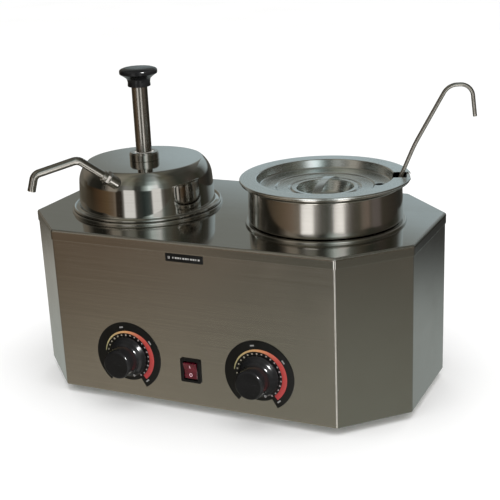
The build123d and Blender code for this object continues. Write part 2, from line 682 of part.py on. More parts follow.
# Strap handle arching over the hand cup.
ha = math.radians(96)
hp = Plane(origin=(well_x - 1.0, well_y, 0), x_dir=(math.cos(ha), math.sin(ha), 0), z_dir=(math.sin(ha), -math.cos(ha), 0))
with BuildPart() as lid_handle:
    with BuildSketch(hp.offset(-5.0)):
        with BuildLine():
            ThreePointArc((-34.2, foot_h + 229.5), (0, foot_h + 237.0), (34.2, foot_h + 229.5))
            offset(amount=1.6, side=Side.LEFT)
        make_face()
    extrude(amount=10.0)
save(lid_handle, "lid_handle")

# Ladle: spun bowl and bent wire handle, leaning in the lid's notch.
lu = Vector(math.cos(ladle_a), math.sin(ladle_a), 0)
ln = Vector(-math.sin(ladle_a), math.cos(ladle_a), 0)
lo = Vector(well_x, well_y, 0) + ln * ladle_off
ladle_pl = Plane(origin=lo, x_dir=lu, z_dir=lu.cross(Vector(0, 0, 1)))
ct, st = math.cos(ladle_tilt), math.sin(ladle_tilt)
hs, hz = 84.6, foot_h + 243.2                   # handle passes the lid here
bowl_z = pot_floor + 0.8 + bowl_r + 0.6         # bowl centre height
h_end = bowl_z - bowl_r * ct                    # handle meets the bowl rim here
s_end = hs - (hz - h_end) / math.tan(ladle_tilt)
bowl_s = s_end - (bowl_r + ladle_rod + 0.02) * st
bowl_c = lo + lu * bowl_s + Vector(0, 0, bowl_z)
hdir = lu * ct + Vector(0, 0, st)
with BuildPart() as ladle_bowl:
    with BuildSketch(Plane(origin=bowl_c, x_dir=(lu * st - Vector(0, 0, ct)), z_dir=ln)):
        with BuildLine():
            CenterArc((0, 0), bowl_r, 0, 90)
            CenterArc((0, 0), bowl_r - 1.0, 0, 90)
            Line((bowl_r - 1.0, 0), (bowl_r, 0))
            Line((0, bowl_r - 1.0), (0, bowl_r))
        make_face()
    revolve(axis=Axis(bowl_c, hdir))
save(ladle_bowl, "ladle_bowl")

hook = [(s_end - 3.0 * ct + 0.0, h_end - 3.0 * st), (97.0, hz + (97.0 - hs) * math.tan(ladle_tilt)),
        (132.4, foot_h + 335.4), (157.6, foot_h + 335.4), (161.8, foot_h + 300.5)]
with BuildPart() as ladle_handle:
    with BuildLine(ladle_pl) as wire:
        FilletPolyline(*hook, radius=[160.0, 16.0, 16.0])
    with BuildSketch(Plane(origin=wire.line @ 0, z_dir=wire.line % 0)):
        Circle(ladle_rod)
    sweep(path=wire.line)
save(ladle_handle, "ladle_handle")

print("bowl centre", bowl_c, "slide dir", hdir)
print("nozzle end", tube_pts[-1], "fitting", F)
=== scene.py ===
import json
import math

import bmesh
import bpy
import numpy as np
from mathutils import Matrix, Vector
from mathutils.geometry import delaunay_2d_cdt

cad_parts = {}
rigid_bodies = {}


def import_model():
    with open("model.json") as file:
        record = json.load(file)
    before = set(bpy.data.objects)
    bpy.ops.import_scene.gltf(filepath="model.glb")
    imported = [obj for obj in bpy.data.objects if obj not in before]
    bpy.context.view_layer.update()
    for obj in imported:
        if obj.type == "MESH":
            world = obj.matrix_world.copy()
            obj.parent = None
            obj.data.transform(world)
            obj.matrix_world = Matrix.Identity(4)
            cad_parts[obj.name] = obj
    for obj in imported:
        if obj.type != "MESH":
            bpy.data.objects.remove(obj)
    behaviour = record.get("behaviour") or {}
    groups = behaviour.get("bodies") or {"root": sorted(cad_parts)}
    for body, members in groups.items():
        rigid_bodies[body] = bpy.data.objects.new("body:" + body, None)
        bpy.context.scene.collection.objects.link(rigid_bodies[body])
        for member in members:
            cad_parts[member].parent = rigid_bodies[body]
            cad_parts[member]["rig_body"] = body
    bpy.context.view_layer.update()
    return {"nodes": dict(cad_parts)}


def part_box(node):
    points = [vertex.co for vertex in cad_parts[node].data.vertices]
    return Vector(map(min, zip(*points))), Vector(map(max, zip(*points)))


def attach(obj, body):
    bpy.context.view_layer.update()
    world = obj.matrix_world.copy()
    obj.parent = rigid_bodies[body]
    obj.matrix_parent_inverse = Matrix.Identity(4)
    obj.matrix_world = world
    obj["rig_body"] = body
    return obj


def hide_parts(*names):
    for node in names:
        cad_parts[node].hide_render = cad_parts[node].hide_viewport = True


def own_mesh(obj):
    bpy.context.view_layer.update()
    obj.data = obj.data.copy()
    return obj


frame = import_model()
NODES = frame["nodes"]
SEG = 256

# ---------------------------------------------------------------------------
# Anchors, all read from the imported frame, in millimetres
# ---------------------------------------------------------------------------


def bx(node):
    lo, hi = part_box(node)
    return lo * 1000.0, hi * 1000.0


def centre(node):
    lo, hi = bx(node)
    return (lo + hi) / 2


deck_hi = bx("top_deck")[1]
half_len, half_dep, deck_z = deck_hi.x, deck_hi.y, deck_hi.z
shell_lo, shell_hi = bx("body_shell")
foot_h, panel_y, back_y = shell_lo.z, shell_lo.y, shell_hi.y
WL, WR = centre("well_left"), centre("well_right")
ring_r = (bx("well_left")[1].x - bx("well_left")[0].x) / 2
ring_top = bx("well_left")[1].z
well_floor = bx("well_left")[0].z
jar_top = bx("food_jar")[1].z
knob_top = bx("pump_knob")[1].z
pot_rim = bx("inset_pot")[1].z
pot_floor = bx("inset_pot")[0].z
lid_top = bx("pot_lid")[1].z
disc_z = bx("pump_lid")[1].z
CH_X, CH_Y = 63.1, 65.2
SHEET = 0.9

# ---------------------------------------------------------------------------
# Outline tools: 2-D paths in (radius, height) or (x, z), millimetres
# ---------------------------------------------------------------------------


def fillet(pts, radii, n=7, lead=0.6):
    """Rounds the inner corners of a path, with a support point either side."""
    pts = [np.array(p, float) for p in pts]
    out = [pts[0]]
    for i in range(1, len(pts) - 1):
        p, a, b = pts[i], pts[i - 1], pts[i + 1]
        r = radii[i - 1]
        u, v = a - p, b - p
        lu, lv = np.linalg.norm(u), np.linalg.norm(v)
        u, v = u / lu, v / lv
        c = float(np.clip(u @ v, -1, 1))
        half = math.acos(c) / 2
        if r <= 0 or half > math.radians(89.5):
            out.append(p)
            continue
        t = min(r / math.tan(half), 0.49 * lu, 0.49 * lv)
        r = t * math.tan(half)
        m = (u + v) / np.linalg.norm(u + v)
        o = p + m * (r / math.sin(half))
        p0, p1 = p + u * t, p + v * t
        if lu - t > 2.2 * lead:
            out.append(p0 + u * lead)
        a0 = math.atan2(*(p0 - o)[::-1])
        a1 = math.atan2(*(p1 - o)[::-1])
        d = (a1 - a0 + math.pi) % (2 * math.pi) - math.pi
        k = max(2, int(n * abs(d) / (math.pi / 2)) + 1)
        for j in range(k + 1):
            w = a0 + d * j / k
            out.append(o + r * np.array([math.cos(w), math.sin(w)]))
        if lv - t > 2.2 * lead:
            out.append(p1 + v * lead)
    out.append(pts[-1])
    clean = [out[0]]
    for q in out[1:]:
        if np.linalg.norm(q - clean[-1]) > 1e-4:
            clean.append(q)
    return clean


def arc(cx, cz, r, a0, a1, n=10):
    return [
        np.array([cx + r * math.cos(math.radians(a0 + (a1 - a0) * j / n)), cz + r * math.sin(math.radians(a0 + (a1 - a0) * j / n))])
        for j in range(n + 1)
    ]


def arc3(p0, p1, p2, n=14):
    """Circular arc through three points."""
    (ax, ay), (bx_, by), (cx, cy) = p0, p1, p2
    d = 2 * (ax * (by - cy) + bx_ * (cy - ay) + cx * (ay - by))
    ux = ((ax**2 + ay**2) * (by - cy) + (bx_**2 + by**2) * (cy - ay) + (cx**2 + cy**2) * (ay - by)) / d
    uy = ((ax**2 + ay**2) * (cx - bx_) + (bx_**2 + by**2) * (ax - cx) + (cx**2 + cy**2) * (bx_ - ax)) / d
    r = math.hypot(ax - ux, ay - uy)
    a0, a1, a2 = (math.atan2(q[1] - uy, q[0] - ux) for q in (p0, p1, p2))
    d = (a2 - a0 + math.pi) % (2 * math.pi) - math.pi
    return [np.array([ux + r * math.cos(a0 + d * j / n), uy + r * math.sin(a0 + d * j / n)]) for j in range(n + 1)]


def side_step(path, t):
    """The path moved t to its left (negative: right)."""
    path = [np.array(p, float) for p in path]
    out = []
    for i, p in enumerate(path):
        a = path[max(i - 1, 0)]
        b = path[min(i + 1, len(path) - 1)]
        n1 = (p - a) if i > 0 else (b - p)
        n2 = (b - p) if i < len(path) - 1 else (p - a)
        n1, n2 = n1 / np.linalg.norm(n1), n2 / np.linalg.norm(n2)
        l1, l2 = np.array([-n1[1], n1[0]]), np.array([-n2[1], n2[0]])
        m = l1 + l2
        size = np.linalg.norm(m)
        m = m / size if size > 1e-6 else l1
        k = 1.0 / max(0.5, float(m @ l1))
        out.append(p + m * t * k)
    return out


def sheet_profile(path, t, round_end=True):
    """Closed outline of bent sheet: the path, a rounded edge, and back."""
    other = side_step(path, t)
    end = []
    if round_end:
        a, b = np.array(path[-1], float), other[-1]
        mid, h = (a + b) / 2, (a - b) / 2
        out = np.array(path[-1], float) - np.array(path[-2], float)
        out = out / np.linalg.norm(out) * np.linalg.norm(h)
        end = [mid + h * math.cos(w) + out * math.sin(w) * 0.9 for w in np.linspace(0, math.pi, 7)[1:-1]]
    return [np.array(p, float) for p in path] + end + other[::-1]


# ---------------------------------------------------------------------------
# Mesh tools. Meshes are made in metres with their object at the origin.
# ---------------------------------------------------------------------------


def new_object(name, verts, faces, flow=None, edge=None, sharp=32.0):
    me = bpy.data.meshes.new(name)
    me.from_pydata([tuple(v) for v in np.asarray(verts) * 0.001], [], faces)
    me.update()
    n = len(me.vertices)
    if flow is not None:
        at = me.attributes.new("flow", "FLOAT_VECTOR", "POINT")
        at.data.foreach_set("vector", np.asarray(flow, np.float32).reshape(-1))
    if edge is not None:
        at = me.attributes.new("edge", "FLOAT", "POINT")
        at.data.foreach_set("value", np.asarray(edge, np.float32).reshape(-1))
    ob = bpy.data.objects.new(name, me)
    bpy.context.scene.collection.objects.link(ob)
    tidy(ob, sharp)
    return ob


def tidy(ob, sharp=32.0):
    """Consistent outward faces, smooth shading with crisp real edges."""
    bm = bmesh.new()
    bm.from_mesh(ob.data)
    bmesh.ops.recalc_face_normals(bm, faces=bm.faces[:])
    bm.to_mesh(ob.data)
    bm.free()
    ob.data.shade_smooth()
    ob.data.set_sharp_from_angle(angle=math.radians(sharp))
    ob.data.update()


def bend_of(prof, closed):
    """How tightly each point of an outline is bent, 0 to 1."""
    n = len(prof)
    out = []
    for i in range(n):
        a, p, b = prof[i - 1 if (closed or i) else 0], prof[i], prof[(i + 1) % n if closed else min(i + 1, n - 1)]
        u, v = p - a, b - p
        lu, lv = np.linalg.norm(u), np.linalg.norm(v)
        if lu < 1e-6 or lv < 1e-6:
            out.append(0.0)
            continue
        turn = abs(math.atan2(u[0] * v[1] - u[1] * v[0], u @ v))
        out.append(min(1.0, 1.1 * turn / (0.5 * (lu + lv))))
    return out


def lathe(name, prof, at=(0, 0, 0), frame3=None, closed=False, seg=None, warp=None, sharp=32.0):
    """Spins an outline of (radius, height) about a vertical axis at `at`, or
    about the third axis of frame3 = (origin, x, y, z)."""
    seg = seg or SEG
    prof = [np.array(p, float) for p in prof]
    if frame3 is None:
        o, ex, ey, ez = np.array([at[0], at[1], 0.0]), np.array([1.0, 0, 0]), np.array([0, 1.0, 0]), np.array([0, 0, 1.0])
    else:
        o, ex, ey, ez = (np.array(v, float) for v in frame3)
    bend = bend_of(prof, closed)
    s, run = [0.0], 0.0
    for a, b in zip(prof, prof[1:]):
        run += float(np.linalg.norm(b - a))
        s.append(run)
    verts, flow, edge, ring = [], [], [], []
    for i, (r, z) in enumerate(prof):
        if r < 1e-5:
            ring.append((len(verts), 1))
            verts.append(o + ez * z)
            flow.append((0, 0, s[i] * 0.001))
            edge.append(bend[i])
            continue
        ring.append((len(verts), seg))
        for j in range(seg):
            w = 2 * math.pi * j / seg
            rr = r if warp is None else r + warp(w, r, z)
            verts.append(o + ex * rr * math.cos(w) + ey * rr * math.sin(w) + ez * z)
            flow.append((0.02 * math.cos(w), 0.02 * math.sin(w), s[i] * 0.001))
            edge.append(bend[i])
    faces = []
    pairs = list(zip(range(len(prof) - 1), range(1, len(prof))))
    if closed:
        pairs.append((len(prof) - 1, 0))
    for a, b in pairs:
        (ia, na), (ib, nb) = ring[a], ring[b]
        if na == 1 and nb == 1:
            continue
        for j in range(seg):
            k = (j + 1) % seg
            if na == 1:
                faces.append((ia, ib + j, ib + k))
            elif nb == 1:
                faces.append((ia + j, ib, ia + k))
            else:
                faces.append((ia + j, ib + j, ib + k, ia + k))
    return new_object(name, verts, faces, flow, edge, sharp)


def round_path(pts, radii, n=12):
    """3-D path with rounded corners, sampled finely."""
    pts = [np.array(p, float) for p in pts]
    out = [pts[0]]
    for i in range(1, len(pts) - 1):
        p = pts[i]
        u, v = pts[i - 1] - p, pts[i + 1] - p
        lu, lv = np.linalg.norm(u), np.linalg.norm(v)
        u, v = u / lu, v / lv
        half = math.acos(float(np.clip(u @ v, -1, 1))) / 2
        if half > math.radians(89.8):
            out.append(p)
            continue
        t = min(radii[i - 1] / math.tan(half), 0.49 * lu, 0.49 * lv)
        r = t * math.tan(half)
        m = (u + v) / np.linalg.norm(u + v)
        o = p + m * (r / math.sin(half))
        a, b = p + u * t - o, p + v * t - o
        ang = math.acos(float(np.clip(a @ b / (r * r), -1, 1)))
        for j in range(n + 1):
            w = ang * j / n
            out.append(o + (a * math.sin(ang - w) + b * math.sin(w)) / math.sin(ang))
    out.append(pts[-1])
    dense = [out[0]]
    for a, b in zip(out, out[1:]):
        k = max(1, int(np.linalg.norm(b - a) / 3.0))
        for j in range(1, k + 1):
            dense.append(a + (b - a) * j / k)
    return dense


def frames_along(path):
    """Parallel-transport frames."""
    path = [np.array(p, float) for p in path]
    tang = []
    for i in range(len(path)):
        d = path[min(i + 1, len(path) - 1)] - path[max(i - 1, 0)]
        tang.append(d / np.linalg.norm(d))
    ref = np.array([0, 0, 1.0]) if abs(tang[0][2]) < 0.9 else np.array([1.0, 0, 0])
    n = np.cross(tang[0], ref)
    n = n / np.linalg.norm(n)
    out = []
    for t in tang:
        n = n - t * float(n @ t)
        n = n / np.linalg.norm(n)
        out.append((t, n, np.cross(t, n)))
    return out


def tube(name, path, radius, bore=0.0, sides=40, taper=None, ends=None):
    """Round bar or tube along a path, closed, with softly rounded ends."""
    fr = frames_along(path)
    path = [np.array(p, float) for p in path]
    s, run = [0.0], 0.0
    for a, b in zip(path, path[1:]):
        run += float(np.linalg.norm(b - a))
        s.append(run)
    rings = []
    e = min(0.45, radius * 0.3)
    first, last = path[0], path[-1]

    def ring(p, f, r, sv, bend):
        rings.append((p, f, r, sv, bend))

    rad = lambda i: radius * (taper(s[i] / run) if taper else 1.0)
    if bore:
        ring(first, fr[0], bore, 0.0, 0.6)
    else:
        ring(first, fr[0], 0.0, 0.0, 0.2)
    ring(first, fr[0], rad(0) - e, 0.0, 0.8)
    ring(first + fr[0][0] * e * 0.3, fr[0], rad(0) - e * 0.3, 0.0, 1.0)
    ring(first + fr[0][0] * e, fr[0], rad(0), 0.0, 0.8)
    for i in range(1, len(path) - 1):
        ring(path[i], fr[i], rad(i), s[i], 0.0)
    k = len(path) - 1
    ring(last - fr[k][0] * e, fr[k], rad(k), s[k], 0.8)
    ring(last - fr[k][0] * e * 0.3, fr[k], rad(k) - e * 0.3, s[k], 1.0)
    ring(last, fr[k], rad(k) - e, s[k], 0.8)
    if bore:
        ring(last, fr[k], bore, s[k], 0.6)
        for i in range(len(path) - 2, 0, -1):
            ring(path[i], fr[i], bore, s[i], 0.0)
    else:
        ring(last, fr[k], 0.0, s[k], 0.2)
    verts, flow, edge, idx = [], [], [], []
    for p, (t, n, b), r, sv, bend in rings:
        if r < 1e-6:
            idx.append((len(verts), 1))
            verts.append(p)
            flow.append((0, 0, sv * 0.001))
            edge.append(bend)
            continue
        idx.append((len(verts), sides))
        for j in range(sides):
            w = 2 * math.pi * j / sides
            verts.append(p + n * r * math.cos(w) + b * r * math.sin(w))
            flow.append((0.001 * radius * math.cos(w), 0.001 * radius * math.sin(w), sv * 0.001))
            edge.append(bend)
    pairs = list(zip(range(len(idx) - 1), range(1, len(idx))))
    if bore:
        pairs.append((len(idx) - 1, 0))
    faces = []
    for a, b in pairs:
        (ia, na), (ib, nb) = idx[a], idx[b]
        for j in range(sides):
            k2 = (j + 1) % sides
            if na == 1:
                faces.append((ia, ib + j, ib + k2))
            elif nb == 1:
                faces.append((ia + j, ib, ia + k2))
            else:
                faces.append((ia + j, ib + j, ib + k2, ia + k2))
    return new_object(name, verts, faces, flow, edge)


def octagon(d):
    n = math.hypot(CH_X, CH_Y)
    nx, ny = CH_Y / n, CH_X / n
    hx, hy = half_len - d, half_dep - d
    c = nx * half_len + ny * (half_dep - CH_Y) - d
    xf, ys = (c - ny * hy) / nx, (c - nx * hx) / ny
    return [(-xf, -hy), (xf, -hy), (hx, -ys), (hx, ys), (xf, hy), (-xf, hy), (-hx, ys), (-hx, -ys)]


def octa_loop(d, corner, n=7):
    """The cabinet outline drawn in by d, its corners rounded, always with the
    same number of points so that loops join up."""
    pts = [np.array(p) for p in octagon(d)]
    r = max(corner - d, 0.25)
    out = []
    for i in range(8):
        p, a, b = pts[i], pts[i - 1], pts[(i + 1) % 8]
        u, v = (a - p) / np.linalg.norm(a - p), (b - p) / np.linalg.norm(b - p)
        half = math.acos(float(np.clip(u @ v, -1, 1))) / 2
        t = r / math.tan(half)
        m = (u + v) / np.linalg.norm(u + v)
        o = p + m * (r / math.sin(half))
        a0 = math.atan2(*(p + u * t - o)[::-1])
        a1 = math.atan2(*(p + v * t - o)[::-1])
        w = (a1 - a0 + math.pi) % (2 * math.pi) - math.pi
        out.append(p + u * (t + 2.0))
        out += [o + r * np.array([math.cos(a0 + w * j / n), math.sin(a0 + w * j / n)]) for j in range(n + 1)]
        out.append(p + v * (t + 2.0))
        # a few points along the flat so that long faces stay well shaped
        q0, q1 = p + v * (t + 2.0), None
        nxt = pts[(i + 1) % 8]
        b2 = pts[(i + 2) % 8]
        u2, v2 = (p - nxt) / np.linalg.norm(p - nxt), (b2 - nxt) / np.linalg.norm(b2 - nxt)
        half2 = math.acos(float(np.clip(u2 @ v2, -1, 1))) / 2
        q1 = nxt + u2 * (r / math.tan(half2) + 2.0)
        for k in range(1, 6):
            out.append(q0 + (q1 - q0) * k / 6)
    return out


def octa_sweep(section, corner):
    """Verts and faces of a closed section of (inset, height) run round the
    cabinet outline."""
    loops = [octa_loop(d, corner) for d, _ in section]
    n = len(loops[0])
    verts, faces = [], []
    for (d, z), lp in zip(section, loops):
        verts += [np.array([p[0], p[1], z]) for p in lp]
    return loops, n, verts, faces


def solid_from_outline(name, loops, depth, bevel, origin, ex, ey, sharp=32.0, res=3):
    """Plate cut to 2-D outlines (first outer, then holes), its edges rounded,
    standing on `origin` and rising along ex x ey."""
    cu = bpy.data.curves.new(name + "_outline", "CURVE")
    cu.dimensions = "2D"
    cu.fill_mode = "BOTH"
    cu.extrude = (depth / 2 - bevel) * 0.001
    cu.bevel_depth = bevel * 0.001
    cu.bevel_resolution = res
    cu.offset = -bevel * 0.001
    for lp in loops:
        sp = cu.splines.new("POLY")
        sp.points.add(len(lp) - 1)
        for q, p in zip(sp.points, lp):
            q.co = (p[0] * 0.001, p[1] * 0.001, 0, 1)
        sp.use_cyclic_u = True
    tmp = bpy.data.objects.new(name + "_tmp", cu)
    bpy.context.scene.collection.objects.link(tmp)
    bpy.context.view_layer.update()
    me = bpy.data.meshes.new_from_object(tmp.evaluated_get(bpy.context.evaluated_depsgraph_get()))
    bpy.data.objects.remove(tmp)
    ex, ey = Vector(ex).normalized(), Vector(ey).normalized()
    ez = ex.cross(ey)
    m = Matrix((ex, ey, ez)).transposed().to_4x4()
    m.translation = Vector(origin) * 0.001 + ez * depth * 0.0005
    bm = bmesh.new()
    bm.from_mesh(me)
    bmesh.ops.remove_doubles(bm, verts=bm.verts[:], dist=2e-6)
    bmesh.ops.transform(bm, matrix=m, verts=bm.verts[:])
    bm.to_mesh(me)
    bm.free()
    me.name = name
    me.materials.clear()
    ob = bpy.data.objects.new(name, me)
    bpy.context.scene.collection.objects.link(ob)
    tidy(ob, sharp)
    return ob


def bake_modifiers(ob):
    bpy.context.view_layer.update()
    dg = bpy.context.evaluated_depsgraph_get()
    me = bpy.data.meshes.new_from_object(ob.evaluated_get(dg), preserve_all_data_layers=True, depsgraph=dg)
    ob.modifiers.clear()
    old = ob.data
    ob.data = me
    me.name = ob.name
    if old.users == 0:
        bpy.data.meshes.remove(old)


def cut(ob, *cutters, sharp=32.0):
    for c in cutters:
        md = ob.modifiers.new("cut", "BOOLEAN")
        md.operation = "DIFFERENCE"
        md.solver = "EXACT"
        md.object = c
    bake_modifiers(ob)
    for c in cutters:
        bpy.data.objects.remove(c)
    bm = bmesh.new()
    bm.from_mesh(ob.data)
    bmesh.ops.remove_doubles(bm, verts=bm.verts[:], dist=1e-6)
    bm.to_mesh(ob.data)
    bm.free()
    ob.data.shade_smooth()
    ob.data.set_sharp_from_angle(angle=math.radians(sharp))


def join(name, obs):
    """One object out of several, attributes kept."""
    me = bpy.data.meshes.new(name)
    bm = bmesh.new()
    for o in obs:
        bm.from_mesh(o.data)
    bm.to_mesh(me)
    bm.free()
    for o in obs:
        bpy.data.objects.remove(o)
    ob = bpy.data.objects.new(name, me)
    bpy.context.scene.collection.objects.link(ob)
    ob.data.shade_smooth()
    ob.data.set_sharp_from_angle(angle=math.radians(32))
    return ob


def rounded_rect(w, h, r, n=6, cx=0.0, cy=0.0):
    out = []
    for sx, sy, a in ((1, 1, 0), (-1, 1, 90), (-1, -1, 180), (1, -1, 270)):
        out += [p for p in arc(cx + sx * (w / 2 - r), cy + sy * (h / 2 - r), r, a, a + 90, n)]
    return out


# ---------------------------------------------------------------------------
# Materials
# ---------------------------------------------------------------------------


class Graph:
    def __init__(self, name):
        self.mat = bpy.data.materials.new(name)
        self.mat.use_nodes = True
        self.t = self.mat.node_tree
        self.t.nodes.clear()
        self.out = self.t.nodes.new("ShaderNodeOutputMaterial")
        self.bsdf = self.t.nodes.new("ShaderNodeBsdfPrincipled")
        self.t.links.new(self.bsdf.outputs["BSDF"], self.out.inputs["Surface"])

    def node(self, kind, **inputs):
        n = self.t.nodes.new(kind)
        for k, v in inputs.items():
            sock = n.inputs[k] if not k.startswith("i_") else n.inputs[int(k[2:])]
            if isinstance(v, bpy.types.NodeSocket):
                self.t.links.new(v, sock)
            else:
                sock.default_value = v
        return n

    def coords(self, kind, scale):
        """Object or flow coordinates, stretched by scale."""
        if kind == "flow":
            src = self.node("ShaderNodeAttribute")
            src.attribute_name = "flow"
            vec = src.outputs["Vector"]
        else:
            src = self.node("ShaderNodeTexCoord")
            vec = src.outputs["Object"]
        mp = self.node("ShaderNodeMapping", Vector=vec, Scale=scale)
        return mp.outputs["Vector"]

    def noise(self, vec, scale, detail=3.0, rough=0.55, lo=0.0, hi=1.0, f0=0.3, f1=0.7):
        n = self.node("ShaderNodeTexNoise", Vector=vec, Scale=scale, Detail=detail, Roughness=rough)
        m = self.node("ShaderNodeMapRange", Value=n.outputs["Fac"])
        m.inputs["From Min"].default_value, m.inputs["From Max"].default_value = f0, f1
        m.inputs["To Min"].default_value, m.inputs["To Max"].default_value = lo, hi
        return m.outputs["Result"]

    def math(self, op, a, b=0.0, clamp=False):
        n = self.t.nodes.new("ShaderNodeMath")
        n.operation = op
        n.use_clamp = clamp
        for s, v in ((n.inputs[0], a), (n.inputs[1], b)):
            if isinstance(v, bpy.types.NodeSocket):
                self.t.links.new(v, s)
            else:
                s.default_value = v
        return n.outputs[0]

    def mix(self, fac, a, b):
        n = self.t.nodes.new("ShaderNodeMix")
        n.data_type = "RGBA"
        for s, v in ((n.inputs[0], fac), (n.inputs[6], a), (n.inputs[7], b)):
            if isinstance(v, bpy.types.NodeSocket):
                self.t.links.new(v, s)
            else:
                s.default_value = (*v, 1.0) if isinstance(v, tuple) and len(v) == 3 else v
        return n.outputs[2]

    def ramp(self, fac, stops):
        n = self.t.nodes.new("ShaderNodeValToRGB")
        self.t.links.new(fac, n.inputs[0])
        e = n.color_ramp.elements
        while len(e) < len(stops):
            e.new(0.5)
        for el, (p, c) in zip(e, stops):
            el.position, el.color = p, (*c, 1.0)
        return n.outputs[0]

    def bump(self, height, strength, distance, normal=None):
        n = self.node("ShaderNodeBump", Height=height, Strength=strength, Distance=distance)
        if normal is not None:
            self.t.links.new(normal, n.inputs["Normal"])
        return n.outputs["Normal"]

    def set(self, **vals):
        for k, v in vals.items():
            s = self.bsdf.inputs[k.replace("_", " ")]
            if isinstance(v, bpy.types.NodeSocket):
                self.t.links.new(v, s)
            else:
                s.default_value = (*v, 1.0) if isinstance(v, tuple) and len(v) == 3 else v
        return self.mat


def steel(name, col, rough, grain="x", fine=900.0, streak=0.05, lines=0.25, wave=0.0, wave_scale=7.0, aniso=0.0, smear=0.05, has_edge=False, edge_rough=-0.05):
    """Stainless steel: directional grain in roughness and bump, hand smears,
    slow sheet waviness, lighter colour on tight bends."""
    g = Graph(name)
    stretch = {
        "flow": (14.0, 14.0, fine),
        "x": (7.0, fine, fine),
        "y": (fine, 7.0, fine),
        "z": (fine, fine, 5.0),
        "none": (fine * 0.3, fine * 0.3, fine * 0.3),
    }[grain]
    vec = g.coords("flow" if grain == "flow" else "object", stretch)
    line = g.noise(vec, 1.0, 4.0, 0.6)
    vec2 = g.coords("flow" if grain == "flow" else "object", tuple(s * 0.23 for s in stretch))
    band = g.noise(vec2, 1.0, 2.0, 0.5)
    obj = g.coords("object", (1.0, 1.0, 1.0))
    smudge = g.noise(obj, 21.0, 4.0, 0.62, f0=0.42, f1=0.78)
    slow = g.noise(obj, wave_scale, 1.5, 0.4, f0=0.2, f1=0.8)
    speck = g.noise(obj, 1900.0, 1.0, 0.5, f0=0.66, f1=0.74)
    r = g.math("MULTIPLY_ADD", line, streak)
    g.t.nodes[-1].inputs[2].default_value = rough - streak * 0.5
    r = g.math("ADD", r, g.math("MULTIPLY", band, streak * 0.6))
    r = g.math("ADD", r, g.math("MULTIPLY", smudge, smear))
    r = g.math("ADD", r, g.math("MULTIPLY", speck, 0.05), clamp=True)
    dark = tuple(c * 0.90 for c in col)
    lite = tuple(min(1.0, c * 1.06) for c in col)
    c = g.mix(line, dark, lite)
    c = g.mix(g.math("MULTIPLY", smudge, 0.30), c, tuple(c_ * f for c_, f in zip(col, (0.88, 0.86, 0.83))))
    if has_edge:
        e = g.node("ShaderNodeAttribute")
        e.attribute_name = "edge"
        # colour lifted on tight bends, following the stored edge value
        bend_lift = g.math("MULTIPLY", e.outputs["Fac"], g.math("MULTIPLY", band, 0.6))
        c = g.mix(bend_lift, c, tuple(min(1.0, x * 1.22) for x in col))
        r = g.math("ADD", r, g.math("MULTIPLY", e.outputs["Fac"], edge_rough), clamp=True)
    n = g.bump(line, lines, 0.00002)
    n = g.bump(band, lines * 0.7, 0.00004, n)
    if wave:
        n = g.bump(slow, wave, 0.0012, n)
    return g.set(Base_Color=c, Metallic=1.0, Roughness=r, Normal=n, Anisotropic=aniso, Anisotropic_Rotation=0.25 if aniso else 0.0)


def plastic(name, col, rough, peel=0.06, peel_scale=900.0, dust=0.25, coat=0.0, edge=True, lift=(0.10, 0.10, 0.105), spec=0.5):
    g = Graph(name)
    obj = g.coords("object", (1.0, 1.0, 1.0))
    fine = g.noise(obj, peel_scale, 3.0, 0.6)
    soft = g.noise(obj, 60.0, 4.0, 0.6, f0=0.4, f1=0.75)
    scratch = g.noise(g.coords("object", (90.0, 2200.0, 700.0)), 1.0, 2.0, 0.5, f0=0.60, f1=0.78)
    c = g.mix(g.math("MULTIPLY", soft, dust), col, lift)
    c = g.mix(g.math("MULTIPLY", scratch, 0.12), c, lift)
    if edge:
        e = g.node("ShaderNodeAttribute")
        e.attribute_name = "edge"
        c = g.mix(g.math("MULTIPLY", e.outputs["Fac"], g.math("MULTIPLY", soft, 0.35)), c, lift)
    r = g.math("MULTIPLY_ADD", soft, 0.12)
    g.t.nodes[-1].inputs[2].default_value = rough
    r = g.math("ADD", r, g.math("MULTIPLY", scratch, 0.10), clamp=True)
    n = g.bump(fine, peel, 0.00006)
    m = g.set(Base_Color=c, Roughness=r, Normal=n, Coat_Weight=coat, Specular_IOR_Level=spec)
    g.bsdf.inputs["Coat Roughness"].default_value = 0.05
    return m


def painted(name, stops, attr, rough=0.42):
    """Printed ink whose colour runs along a stored value."""
    g = Graph(name)
    a = g.node("ShaderNodeAttribute")
    a.attribute_name = attr
    obj = g.coords("object", (1.0, 1.0, 1.0))
    speck = g.noise(obj, 2600.0, 3.0, 0.6)
    worn = g.noise(obj, 300.0, 4.0, 0.6, f0=0.35, f1=0.8)
    c = g.ramp(a.outputs["Fac"], stops)
    c = g.mix(g.math("MULTIPLY", worn, 0.22), c, (0.05, 0.045, 0.04))
    r = g.math("MULTIPLY_ADD", speck, 0.15)
    g.t.nodes[-1].inputs[2].default_value = rough - 0.07
    return g.set(Base_Color=c, Roughness=r, Normal=g.bump(speck, 0.15, 0.00003))


def rubber(name, col):
    g = Graph(name)
    obj = g.coords("object", (1.0, 1.0, 1.0))
    fine = g.noise(obj, 1500.0, 4.0, 0.65)
    dust = g.noise(obj, 90.0, 4.0, 0.6, f0=0.4, f1=0.8)
    c = g.mix(g.math("MULTIPLY", dust, 0.35), col, tuple(min(1, x * 3 + 0.05) for x in col))
    return g.set(Base_Color=c, Roughness=g.noise(obj, 70.0, 2.0, 0.5, lo=0.62, hi=0.85), Normal=g.bump(fine, 0.4, 0.00012))


